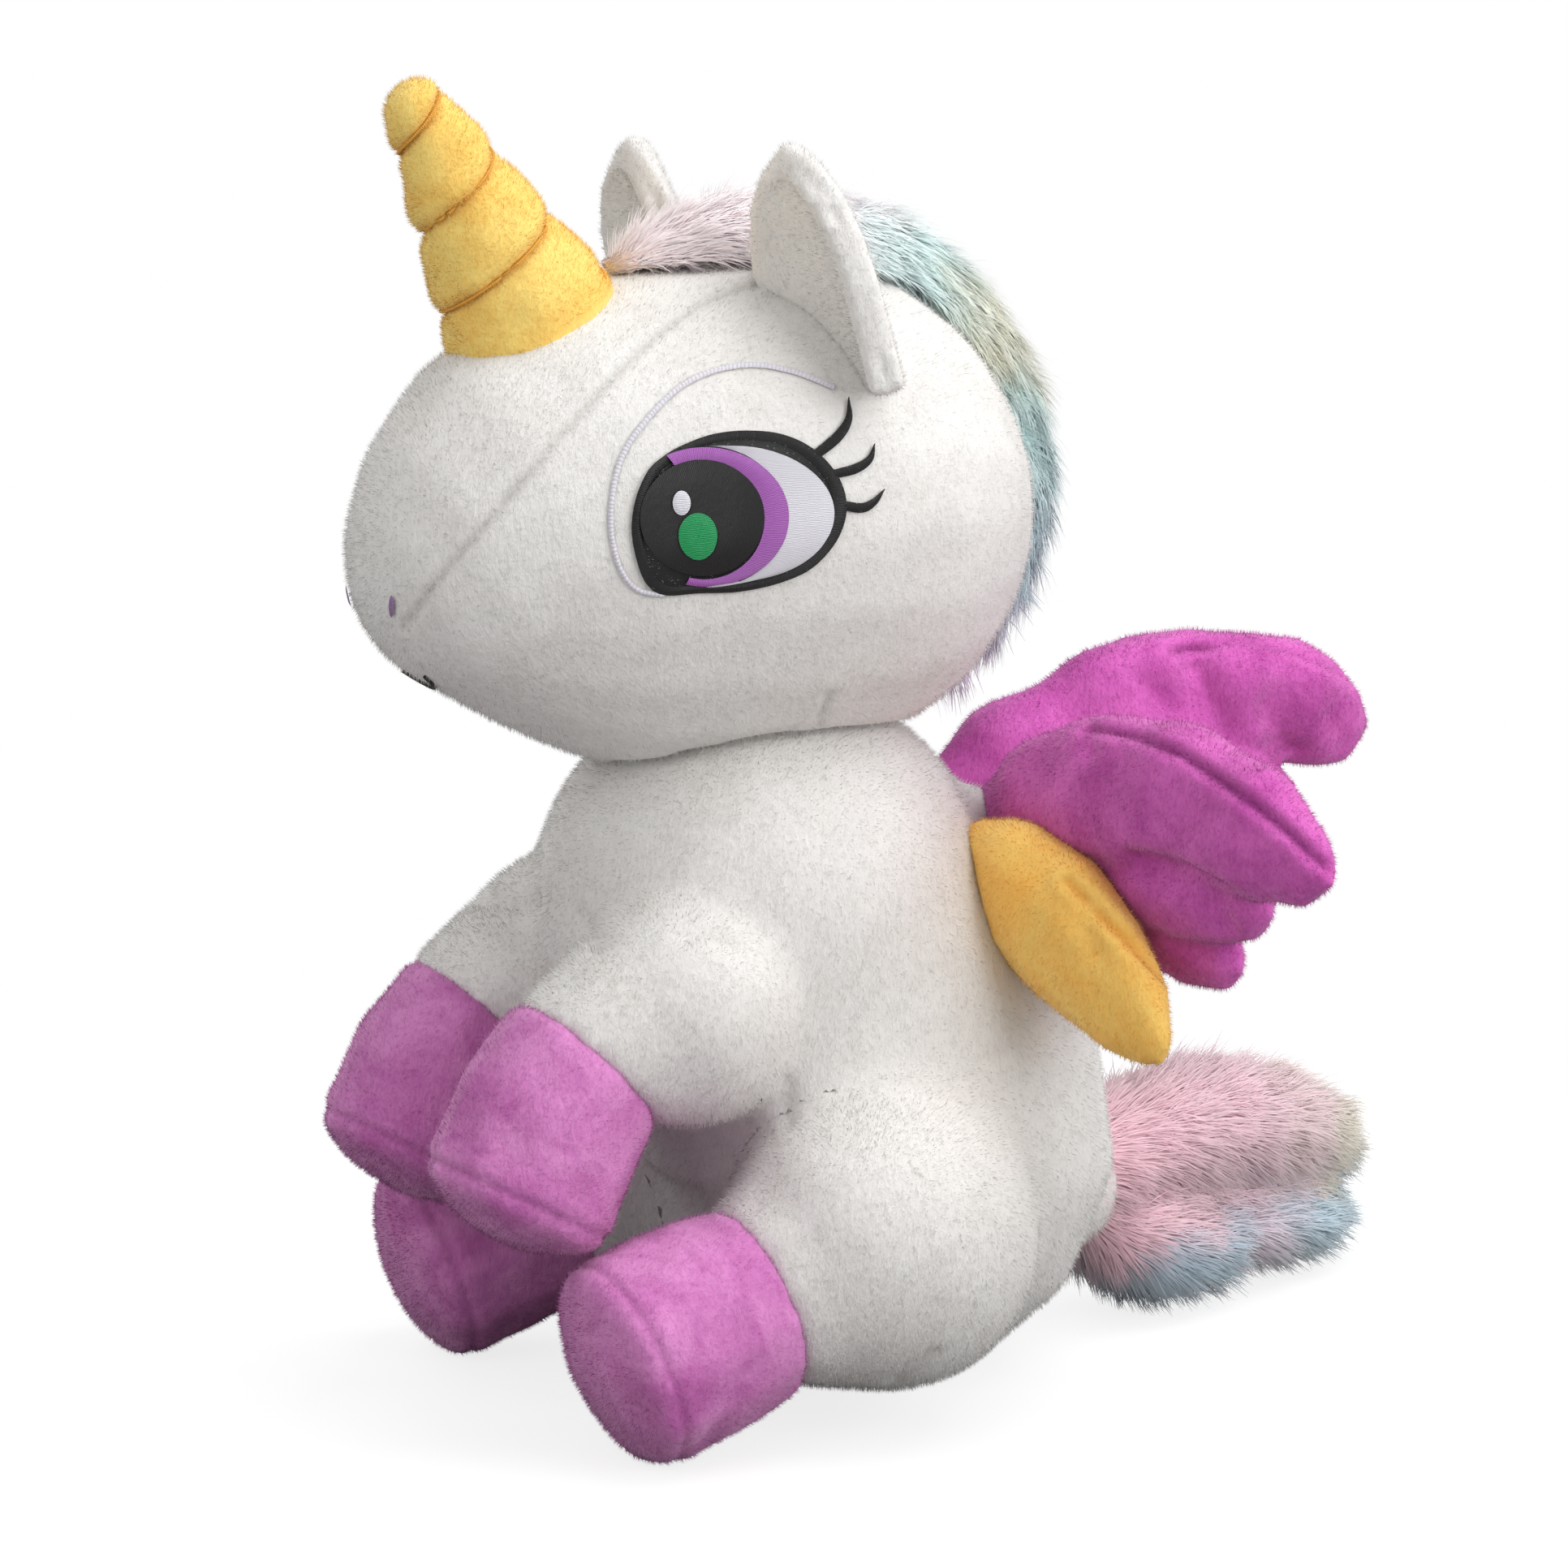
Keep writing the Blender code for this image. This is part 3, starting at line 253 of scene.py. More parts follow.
def finishPiece(piece, material):
    piece.data.materials.clear()
    piece.data.materials.append(material)
    makeActive(piece)
    bpy.ops.object.shade_smooth()
    if "seam" not in piece.data.attributes:
        addMark(piece, "seam", np.zeros(len(piece.data.vertices)))
    return piece


# the photograph's camera, and points seen by it
shot = {"target": (0, -0.012, 0.139), "turn": 62, "rise": 8.5, "far": 1.15, "pixels": 1932, "focal": 6190,
        "sensor": 36}
turn, rise = math.radians(shot["turn"]), math.radians(shot["rise"])
away = Vector((math.sin(turn) * math.cos(rise), -math.cos(turn) * math.cos(rise), math.sin(rise)))
bpy.ops.object.camera_add(location=Vector(shot["target"]) + away * shot["far"])
camera = bpy.context.object
camera.rotation_mode = "QUATERNION"
camera.rotation_quaternion = (-away).to_track_quat("-Z", "Y")
camera.data.sensor_width = shot["sensor"]
camera.data.lens = shot["sensor"] * shot["focal"] / shot["pixels"]
camera.data.clip_start = 0.05
scene.camera = camera
bpy.context.view_layer.update()
cameraTurn = camera.matrix_world.to_3x3()


def treeOf(piece):
    return BVHTree.FromObject(piece, bpy.context.evaluated_depsgraph_get())


def seenAt(tree, x, y, lift=0.0):
    half = shot["pixels"] / 2
    ray = cameraTurn @ Vector(((x - half) / shot["focal"], (half - y) / shot["focal"], -1)).normalized()
    place, normal = tree.ray_cast(camera.location, ray)[:2]
    if place is None:
        return None
    if normal.dot(ray) > 0:
        normal = -normal
    return place + normal * lift


def seenLine(tree, line, lift=0.0, step=12):
    found = []
    for (ax, ay), (bx, by) in zip(line, line[1:]):
        count = max(1, int(math.hypot(bx - ax, by - ay) / step))
        for k in range(count):
            place = seenAt(tree, ax + (bx - ax) * k / count, ay + (by - ay) * k / count, lift)
            if place:
                found.append(place)
    last = seenAt(tree, *line[-1], lift)
    return found + ([last] if last else [])


def mirrored(line):
    return [Vector((-p.x, p.y, p.z)) for p in line]


print("camera set")


# shared shading
def newGroup(name, inputs, outputs):
    group = bpy.data.node_groups.new(name, "ShaderNodeTree")
    for label, kind, value in inputs:
        socket = group.interface.new_socket(label, in_out="INPUT", socket_type="NodeSocket" + kind)
        socket.default_value = value
    for label, kind in outputs:
        group.interface.new_socket(label, in_out="OUTPUT", socket_type="NodeSocket" + kind)
    given = group.nodes.new("NodeGroupInput").outputs
    return group, given, group.nodes.new("NodeGroupOutput").inputs


def addNode(tree, kind, inputs, **settings):
    # each input is a value, or an output of another node to link
    made = tree.nodes.new("ShaderNode" + kind)
    for key, value in settings.items():
        setattr(made, key, value)
    for key, value in inputs.items():
        if isinstance(value, bpy.types.NodeSocket):
            tree.links.new(value, made.inputs[key])
        else:
            made.inputs[key].default_value = value
    return made


def mixed(tree, factor, a, b, **settings):
    inputs = {"Factor": factor, "A": a, "B": b}
    return addNode(tree, "Mix", inputs, data_type="RGBA", **settings).outputs["Result"]


def maths(tree, operation, *inputs):
    return addNode(tree, "Math", dict(enumerate(inputs)), operation=operation).outputs[0]


def ranged(tree, value, low=0.0, high=1.0, toLow=0.0, toHigh=1.0, **settings):
    inputs = {"Value": value, "From Min": low, "From Max": high, "To Min": toLow, "To Max": toHigh}
    return addNode(tree, "MapRange", inputs, **settings).outputs["Result"]


def noise(tree, place, scale, detail, **inputs):
    return addNode(tree, "TexNoise", {"Vector": place, "Scale": scale, "Detail": detail, **inputs}).outputs["Fac"]


def ownPlace(tree):
    return addNode(tree, "TexCoord", {}).outputs["Object"]


def markOf(tree, name, output="Fac"):
    return addNode(tree, "Attribute", {}, attribute_name=name).outputs[output]


def napGroup():
    # brushed short pile: broad lighter and darker patches, painted sheen where the nap lies another way, fine darker
    # tufts, and painted shade in the seams
    group, given, out = newGroup(
        "brushedNap",
        [("Lit", "Color", (0.8, 0.8, 0.8, 1)), ("Shaded Nap", "Color", (0.6, 0.6, 0.6, 1)),
         ("Seam Shade", "Color", (0.4, 0.4, 0.4, 1)), ("Patches", "Float", 0.5), ("Patch Scale", "Float", 40.0),
         ("Tuft Scale", "Float", 900.0), ("Seam", "Float", 0.6)],
        [("Color", "Color"), ("Height", "Float"), ("Roughness", "Float")],
    )
    place = ownPlace(group)
    drawn = addNode(group, "Mapping", {"Vector": place, "Scale": (1.0, 0.8, 0.38)}).outputs["Vector"]
    patch = noise(group, place, given["Patch Scale"], 4, Roughness=0.62, Distortion=0.7)
    tuft = noise(group, drawn, given["Tuft Scale"], 3, Roughness=0.7)
    amount = maths(group, "MULTIPLY", ranged(group, patch, 0.40, 0.68), given["Patches"])
    # painted sheen: patches mix the lit colour towards the darker shaded nap colour, as brushed nap catches the light
    # differently
    shade = mixed(group, amount, given["Lit"], given["Shaded Nap"])
    # fine tufts darkened towards the shaded nap colour
    tufted = mixed(group, ranged(group, tuft, 0.30, 0.52, 0.30, 0.0), shade, given["Shaded Nap"])
    # painted shade in the seams: the seam mark mixes in the darker seam shade colour
    sewn = maths(group, "MULTIPLY", markOf(group, "seam"), given["Seam"])
    group.links.new(mixed(group, sewn, tufted, given["Seam Shade"]), out["Color"])
    group.links.new(maths(group, "MULTIPLY_ADD", patch, 0.35, tuft), out["Height"])
    group.links.new(ranged(group, amount, toLow=0.98, toHigh=0.78), out["Roughness"])
    return group


def stitchGroup():
    # satin stitches: ridges across a counted line, with painted shade in the grooves between them
    group, given, out = newGroup(
        "satinStitch",
        [("Thread", "Color", (0.5, 0.5, 0.5, 1)), ("Groove Shade", "Color", (0.2, 0.2, 0.2, 1)), ("Pitch", "Float", 0.4)],
        [("Color", "Color"), ("Height", "Float")],
    )
    stray = noise(group, ownPlace(group), 700, 2)
    turns = maths(group, "DIVIDE", markOf(group, "stitch"), given["Pitch"])
    ridge = maths(group, "PINGPONG", maths(group, "ADD", turns, stray), 0.5)
    # painted shade: the grooves between stitches mixed towards the darker colour
    grooveShade = ranged(group, ridge, 0.0, 0.30, 0.75, 0.0)
    group.links.new(mixed(group, grooveShade, given["Thread"], given["Groove Shade"]), out["Color"])
    group.links.new(ridge, out["Height"])
    return group


nap = napGroup()
stitch = stitchGroup()


def linear(r, g, b):
    def one(v):
        v /= 255
        return v / 12.92 if v < 0.04045 else ((v + 0.055) / 1.055) ** 2.4
    return (one(r), one(g), one(b), 1)


def newMaterial(name):
    material = bpy.data.materials.new(name)
    material.use_nodes = True
    return material, material.node_tree, material.node_tree.nodes["Principled BSDF"]


def grouped(tree, shader, shared, values, bump, deep):
    # a shared group's colour and relief
    made = addNode(tree, "Group", {}, node_tree=shared)
    for label, value in values.items():
        made.inputs[label].default_value = value
    relief = addNode(tree, "Bump", {"Strength": bump, "Distance": deep, "Height": made.outputs["Height"]})
    tree.links.new(made.outputs["Color"], shader.inputs["Base Color"])
    tree.links.new(relief.outputs["Normal"], shader.inputs["Normal"])
    return made


def plush(name, lit, turned, parted, patches, patchScale, bump=0.55, sheen=0.2, seam=0.6):
    material, tree, shader = newMaterial(name)
    values = {"Lit": linear(*lit), "Shaded Nap": linear(*turned), "Seam Shade": linear(*parted), "Patches": patches,
              "Patch Scale": patchScale, "Tuft Scale": 900, "Seam": seam}
    made = grouped(tree, shader, nap, values, bump, 0.0009)
    tree.links.new(made.outputs["Roughness"], shader.inputs["Roughness"])
    shader.inputs["Sheen Weight"].default_value = sheen
    shader.inputs["Sheen Roughness"].default_value = 0.45
    shader.inputs["Specular IOR Level"].default_value = 0.2
    return material


def thread(name, colour, between, pitch=0.4):
    material, tree, shader = newMaterial(name)
    grouped(tree, shader, stitch, {"Thread": linear(*colour), "Groove Shade": linear(*between), "Pitch": pitch}, 0.6, 0.0004)
    shader.inputs["Roughness"].default_value = 0.45
    shader.inputs["Specular IOR Level"].default_value = 0.4
    return material


def longPile(name):
    # dyed strands, from the colours kept on the mesh
    material, tree, shader = newMaterial(name)
    fine = noise(tree, ownPlace(tree), 420, 3)
    depth = ranged(tree, fine, 0.3, 0.6, 0.84, 1.0)
    shade = mixed(tree, 1.0, markOf(tree, "dye", "Color"), depth, blend_type="MULTIPLY")
    tree.links.new(shade, shader.inputs["Base Color"])
    shader.inputs["Roughness"].default_value = 0.75
    shader.inputs["Sheen Weight"].default_value = 0.5
    return material


# each plush: lit nap colour, darker painted nap shade, darker painted seam shade, patches, patch scale, bump, sheen,
# seam shade weight
white = plush("whitePlush", (238, 236, 233), (220, 216, 212), (184, 179, 174), 0.5, 34, 0.55, 0.15, 0.45)
purple = plush("purplePlush", (220, 108, 194), (182, 64, 156), (128, 36, 112), 0.75, 52, 0.55, 0.3, 0.7)
hoofPurple = plush("hoofPlush", (224, 146, 206), (188, 94, 168), (140, 54, 124), 0.8, 60, 0.55, 0.3, 0.5)
gold = plush("goldPlush", (255, 212, 116), (255, 190, 84), (226, 146, 48), 0.65, 55, 0.55, 0.2, 0.6)
hornGold = plush("hornPlush", (255, 226, 132), (254, 204, 98), (228, 156, 62), 0.65, 55, 0.55, 0.2, 0.4)
# each thread: its colour, then a darker painted shade for the grooves between stitches
blackThread = thread("blackThread", (30, 30, 30), (8, 8, 8))
irisThread = thread("irisThread", (176, 102, 188), (116, 56, 130))
palestThread = thread("palestThread", (236, 234, 240), (178, 174, 190))
greenThread = thread("greenThread", (28, 160, 92), (8, 92, 48))
browThread = thread("browThread", (226, 223, 231), (196, 193, 205), 0.9)
noseThread = thread("noseThread", (164, 128, 172), (124, 90, 134))
goldThread = thread("goldThread", (244, 178, 70), (196, 128, 34), 0.5)
pastel = longPile("pastelPile")
print("materials made")


# fibres: feet spread evenly over a finished piece
def scatter(piece, count, rng, keep=None):
    mesh = piece.data
    mesh.calc_loop_triangles()
    tris = np.empty(len(mesh.loop_triangles) * 3, np.int32)
    mesh.loop_triangles.foreach_get("vertices", tris)
    tris = tris.reshape(-1, 3)
    points, normal = coords(piece), normals(piece)
    if keep is not None:
        tris = tris[keep(points[tris].mean(1))]
    a, b, c = points[tris[:, 0]], points[tris[:, 1]], points[tris[:, 2]]
    size = np.linalg.norm(np.cross(b - a, c - a), axis=1)
    chosen = rng.choice(len(tris), count, p=size / size.sum())
    u, v = rng.random(count), rng.random(count)
    flip = u + v > 1
    u[flip], v[flip] = 1 - u[flip], 1 - v[flip]
    foot = a[chosen] + (b - a)[chosen] * u[:, None] + (c - a)[chosen] * v[:, None]
    up = normal[tris[chosen]].mean(1)
    return foot, up / np.linalg.norm(up, axis=1, keepdims=True)


pile = {"lean": 0.8, "stray": 0.35, "sunk": 0.0002, "facing": 0.45, "least": 0.0001,
        "down": (0.0, 0.15, -1.0), "back": (0.0, 1.0, -0.35), "up": (0.0, 0.0, 1.0)}


def pileOn(piece, name, size, lay, seed, material, keep=None, count=None):
    # short pile: one triangle each, lit like the cloth under it
    count = count or size["pile"]
    rng = np.random.default_rng(seed)
    foot, up = scatter(piece, count, rng, keep)
    lay = np.tile(np.array(lay, float), (count, 1))
    lay = lay - up * (lay * up).sum(1, keepdims=True) + rng.normal(size=foot.shape) * pile["stray"]
    tall = size["pileLength"] * rng.uniform(0.6, 1.15, count)[:, None]
    way = up + lay * pile["lean"]
    tip = foot + way / np.linalg.norm(way, axis=1, keepdims=True) * tall
    across = np.cross(up, rng.normal(size=foot.shape))
    across *= size["pileWide"] / 2 / np.linalg.norm(across, axis=1, keepdims=True)
    foot = foot - up * pile["sunk"]
    facing = np.cross(across, tip - foot)
    facing /= np.linalg.norm(facing, axis=1, keepdims=True)
    inward = (facing * up).sum(1) < 0
    across[inward], facing[inward] = -across[inward], -facing[inward]
    corners = np.stack([foot - across, foot + across, tip], 1).reshape(-1, 3)
    corners[:, 2] = np.maximum(corners[:, 2], pile["least"])
    faces = np.arange(count * 3).reshape(-1, 3)
    return finishPiece(meshOf(name, corners, faces, np.repeat(up + facing * pile["facing"], 3, 0)), material)


def meshOf(name, points, faces, facing):
    corners = faces.shape[1]
    mesh = bpy.data.meshes.new(name)
    mesh.vertices.add(len(points))
    mesh.vertices.foreach_set("co", points.astype(np.float32).ravel())
    mesh.loops.add(faces.size)
    mesh.loops.foreach_set("vertex_index", faces.astype(np.int32).ravel())
    mesh.polygons.add(len(faces))
    mesh.polygons.foreach_set("loop_start", np.arange(0, faces.size, corners, dtype=np.int32))
    mesh.update(calc_edges=True)
    mesh.validate()
    mesh.normals_split_custom_set_from_vertices(facing / np.linalg.norm(facing, axis=1, keepdims=True))
    piece = bpy.data.objects.new(name, mesh)
    scene.collection.objects.link(piece)
    bakeCells(piece, corners)
    return piece


def bakeCells(piece, corners):
    # each face has a cell of its own on the map
    spots = {3: [(0.1, 0.1), (0.9, 0.1), (0.5, 0.9)], 4: [(0.1, 0.1), (0.9, 0.1), (0.9, 0.9), (0.1, 0.9)]}
    loops = len(piece.data.loops)
    across = math.ceil(math.sqrt(loops // corners))
    cell = np.arange(loops) // corners
    spot = np.array(spots[corners])[np.arange(loops) % corners]
    place = np.stack([cell % across, cell // across], 1)
    layer = piece.data.uv_layers.new(name="OFBake")
    layer.data.foreach_set("uv", ((place + spot) / across).astype(np.float32).ravel())


# body and sleeves: one skin, sewn together, then cut apart at the legs' joints
body = {
    "voxel": 0.0030, "smooth": 9, "swell": 0.0007, "least": 0.0004, "nearer": 0.0015, "fill": 0.85,
    "neckRadius": 0.0523, "shoulder": (0.029, -0.052, 0.096), "shoulderBall": 0.0262,
    "hip": (0.049, -0.0125, 0.044), "hipBall": 0.0352, "tailRoot": (0, 0.0600, 0.038), "tailBall": 0.0160,
    "wingRoot": (0.014, 0.0290, 0.129), "wingBall": 0.0085,
    "thigh": {"from": 0.037, "wide": 0.016, "front": -0.040, "fade": 0.015, "smooth": 70},
    "pile": 120000, "pileLength": 0.0015, "pileWide": 0.00016,
}
legs = {  # where a leg's fabric is cut from the body, a point further down the leg that sets the cut's direction, and how thick it is
    "front": {"from": (0.029, -0.058, 0.094), "to": (0.029, -0.072, 0.080), "thick": 0.029, "pile": 14000},
    "hind": {"from": (0.048, -0.0115, 0.0445), "to": (0.0564, -0.0227, 0.0392), "thick": 0.060, "pile": 26000},
}
parts = [copyNode("body_cover"), copyNode("body_stuffing"), ballAt(neck, body["neckRadius"])]
parts.append(ballAt(body["tailRoot"], body["tailBall"]))
for word, side in sides:
    for which in ("front", "hind"):
        parts.append(copyNode(f"{which}_leg_{word}_sleeve", hull=True))
    for root, size in (("shoulder", "shoulderBall"), ("hip", "hipBall"), ("wingRoot", "wingBall")):
        x, y, z = body[root]
        parts.append(ballAt((side * x, y, z), body[size]))
shellTree = treeOf(parts[0])
legTrees = {}
for part in parts:
    if "_sleeve" in part.name:
        legTrees[part.name.split("_sleeve")[0]] = treeOf(part)
skin = joinAll("torso", parts)
remesh(skin, body["voxel"], body["smooth"])
points = coords(skin)
thigh = body["thigh"]  # smoothed again, so the hip runs into the back
hips = [np.linalg.norm(points - np.array(body["hip"]) * (side, 1, 1), axis=1) for word, side in sides]
soft = np.exp(-((np.minimum(*hips) - thigh["from"]) / thigh["wide"]) ** 2)
soft *= np.clip((points[:, 1] - thigh["front"]) / thigh["fade"], 0, 1)
group = skin.vertex_groups.new(name="thigh")
for index in np.nonzero(soft > 0.03)[0]:
    group.add([int(index)], float(soft[index]), "REPLACE")
applyModifier(skin, "SMOOTH", factor=0.5, iterations=thigh["smooth"], vertex_group="thigh")
skin.vertex_groups.clear()
swell(skin, body["swell"])
points = coords(skin)
points[:, 2] = np.maximum(points[:, 2], body["least"])
setCoords(skin, points)
finer(skin)
print("body skin", len(skin.data.polygons))

bodyTree = treeOf(skin)
creases = {  # seen in the photograph: line, depth, width
    "shoulder": ([(845, 1152), (875, 1152), (905, 1168)], 0.0012, 0.0022),
    "armpit": ([(715, 1130), (738, 1165)], 0.0016, 0.0026),
    "belly": ([(968, 1330), (972, 1385)], 0.0010, 0.0018),
    "seat": ([(1105, 1700), (1150, 1668)], 0.0012, 0.0020),
}
for line, depth, wide in creases.values():  # folds, not seams, so they get no painted seam shade and stay the fabric's colour
    found = seenLine(bodyTree, line)
    if len(found) > 1:
        pressSeams(skin, [found, mirrored(found)], depth, wide, mark=0)


def partLeg(skin, name, word, which, side):
    place = legs[which]
    start = np.array(place["from"]) * (side, 1, 1)
    end = np.array(place["to"]) * (side, 1, 1)
    way = (end - start) / np.linalg.norm(end - start)

    def inLeg(centre):
        # ahead of the cut, and nearer the leg than the belly
        off = centre - start
        wide = np.linalg.norm(off - np.outer(off @ way, way), axis=1)
        chosen = (wide < place["thick"]) & (off @ way > 0)
        for k in np.nonzero(chosen)[0]:
            toLeg = legTrees[f"{which}_leg_{word}"].find_nearest(Vector(centre[k]))[3]
            chosen[k] = toLeg < shellTree.find_nearest(Vector(centre[k]))[3] + body["nearer"]
        return chosen

    def select(chosen):
        bpy.ops.object.mode_set(mode="EDIT")
        bpy.ops.mesh.select_mode(type="FACE")
        bpy.ops.mesh.select_all(action="DESELECT")
        bpy.ops.object.mode_set(mode="OBJECT")
        skin.data.polygons.foreach_set("select", chosen)
        bpy.ops.object.mode_set(mode="EDIT")

    makeActive(skin)
    centre = np.array([p.center for p in skin.data.polygons])
    off = centre - start
    wide = np.linalg.norm(off - np.outer(off @ way, way), axis=1)
    select((np.abs(off @ way) < 0.004) & (wide < place["thick"] + 0.004))
    bpy.ops.mesh.bisect(plane_co=tuple(start), plane_no=tuple(way))
    bpy.ops.object.mode_set(mode="OBJECT")
    centre = np.array([p.center for p in skin.data.polygons])
    inside = inLeg(centre)
    mesh = bmesh.new()
    mesh.from_mesh(skin.data)
    mesh.faces.ensure_lookup_table()

    def beside(face):
        return [other.index for line in mesh.faces[face].edges for other in line.link_faces]

    best = runs(np.nonzero(inside)[0].tolist(), beside)[-1]
    taken = set(best)
    for run in runs([k for k in range(len(centre)) if k not in taken], beside)[:-1]:
        best = best + run
    mesh.free()
    chosen = np.zeros(len(centre), bool)
    chosen[best] = True
    select(chosen)
    bpy.ops.mesh.separate(type="SELECTED")
    bpy.ops.object.mode_set(mode="OBJECT")
    leg = next(o for o in bpy.context.selected_objects if o != skin)
    leg.name = name
    leg.data.name = name
    return leg, start, end


def closeHoles(piece):
    makeActive(piece)
    bpy.ops.object.mode_set(mode="EDIT")
    bpy.ops.mesh.select_mode(type="EDGE")
    bpy.ops.mesh.select_all(action="DESELECT")
    bpy.ops.mesh.select_non_manifold()
    bpy.ops.mesh.mark_sharp()
    bpy.ops.mesh.fill_holes(sides=0)
    bpy.ops.object.mode_set(mode="OBJECT")


sleeves = []
for word, side in sides:
    for which in ("front", "hind"):
        sleeve, start, end = partLeg(skin, f"{which}Sleeve{word.title()}", word, which, side)
        sleeves.append((sleeve, f"{which}_leg_{word}", start, end))
finishPiece(skin, white)
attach(skin, "torso")
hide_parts("body_cover", "body_stuffing", "pellet_bag")
fibres = pileOn(skin, "torsoPile", body, pile["down"], 11, white)
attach(fibres, "torso")
closeHoles(skin)
for k, (sleeve, leg, start, end) in enumerate(sleeves):
    finishPiece(sleeve, white)
    fibres = pileOn(sleeve, sleeve.name + "Pile", body, pile["down"], 20 + k, white, count=legs[leg.split("_")[0]]["pile"])
    closeHoles(sleeve)
    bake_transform(sleeve)
    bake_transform(fibres)
    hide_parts(leg + "_sleeve", leg + "_stuffing")
print("body and sleeves done")


# hooves
hoof = {"voxel": 0.0020, "smooth": 12, "swell": 0.0014, "seamDepth": 0.0006, "seamWide": 0.0010, "rise": 0.0002,
        "ripple": 0.00022, "rippleSize": 0.016, "rim": 0.010, "rimWide": 0.006, "least": 0.0003, "mark": 0.5,
        "pile": 24000, "pileLength": 0.0012, "pileWide": 0.00015}
for word, side in sides:
    for which in ("front", "hind"):
        leg = f"{which}_leg_{word}"
        low = np.array([v.co for v in nodes[leg + "_sole"].data.vertices])
        top = np.array([v.co for v in nodes[leg + "_hoof"].data.vertices])
        axis = low.mean(0) - top.mean(0)
        axis /= np.linalg.norm(axis)
        soleAt = (low @ axis).min() + 0.0008
        parts = [copyNode(leg + "_hoof"), copyNode(leg + "_sole")]
        piece = joinAll(f"{which}Hoof{word.title()}", parts)
        weld(piece, hull=True)
        remesh(piece, hoof["voxel"], hoof["smooth"])
        swell(piece, hoof["swell"])
        finer(piece)
        points = coords(piece)
        points += normals(piece) * (wobble(points, hoof["rippleSize"], 5 + side) * hoof["ripple"])[:, None]
        off = points @ axis - soleAt
        near = np.exp(-(off / hoof["seamWide"]) ** 2)
        puffed = np.exp(-((np.abs(off) - 0.0032) / 0.0020) ** 2)
        middle = points - points.mean(0)
        outer = np.linalg.norm(middle - np.outer(middle @ axis, axis), axis=1)
        rim = np.clip((outer - hoof["rim"]) / hoof["rimWide"], 0, 1)
        move = (hoof["rise"] * puffed - hoof["seamDepth"] * near) * rim
        points += normals(piece) * move[:, None]
        points[:, 2] = np.maximum(points[:, 2], hoof["least"])
        setCoords(piece, points)
        # painted shade along the sole seam's crease; mark sets how dark
        addMark(piece, "seam", near * rim * hoof["mark"])
        finishPiece(piece, hoofPurple)
        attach(piece, leg)
        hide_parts(leg + "_hoof", leg + "_sole")
        fibres = pileOn(piece, piece.name + "Pile", hoof, -axis, 40 + side, hoofPurple)
        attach(fibres, leg)
print("hooves done")


# head
head = {"voxel": 0.0030, "smooth": 9, "swell": 0.0008, "seamDepth": 0.0007, "seamWide": 0.0010, "rise": 0.0002,
        "pile": 110000, "pileLength": 0.0014, "pileWide": 0.00016}
headSkin = joinAll("headSkin", [copyNode("head_cover"), copyNode("head_stuffing")])
remesh(headSkin, head["voxel"], head["smooth"])
swell(headSkin, head["swell"])
finer(headSkin)
headTree = treeOf(headSkin)
seams = {
    "gusset": [(497, 772), (540, 712), (620, 620), (680, 548), (745, 475), (800, 420), (860, 375), (905, 357),
               (950, 345)],
    "jaw": [(1022, 855), (1008, 895), (985, 935)],
}
lines = []
for line in seams.values():
    found = seenLine(headTree, line)
    lines += [found, mirrored(found)]
# the gusset and jaw seams get painted shade along their creases
pressSeams(headSkin, lines, head["seamDepth"], head["seamWide"], head["rise"])
finishPiece(headSkin, white)
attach(headSkin, "head")
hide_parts("head_cover", "head_stuffing")
headTree = treeOf(headSkin)
fibres = pileOn(headSkin, "headPile", head, pile["back"], 3, white)
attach(fibres, "head")
print("head done")


# embroidery: strips between two outlines drawn as the photograph shows them, laid on the head
def between(a, b, c, d, t):
    # a smooth curve from b to c
    return 0.5 * (2 * b + (c - a) * t + (2 * a - 5 * b + 4 * c - d) * t * t + (3 * b - a - 3 * c + d) * t ** 3)


def closedCurve(points, count):
    points = np.array(points, float)
    n = len(points)
    found = []
    for k in range(count):
        at = k / count * n
        i = int(at)
        found.append(between(*(points[(i + j) % n] for j in (-1, 0, 1, 2)), at - i))
    return np.array(found)


def openCurve(points, count):
    points = np.array(points, float)
    points = np.vstack([2 * points[0] - points[1], points, 2 * points[-1] - points[-2]])
    n = len(points) - 3
    found = []
    for k in range(count):
        at = min(k / (count - 1) * n, n - 1e-6)
        i = int(at)
        found.append(between(*points[i:i + 4], at - i))
    return np.array(found)


def ellipse(x, y, wide, tall, start=0, end=360, count=60):
    turns = np.radians(np.linspace(start, end, count))
    return np.stack([x + wide * np.cos(turns), y - tall * np.sin(turns)], 1)


pixelSize = 0.186  # millimetres on the face


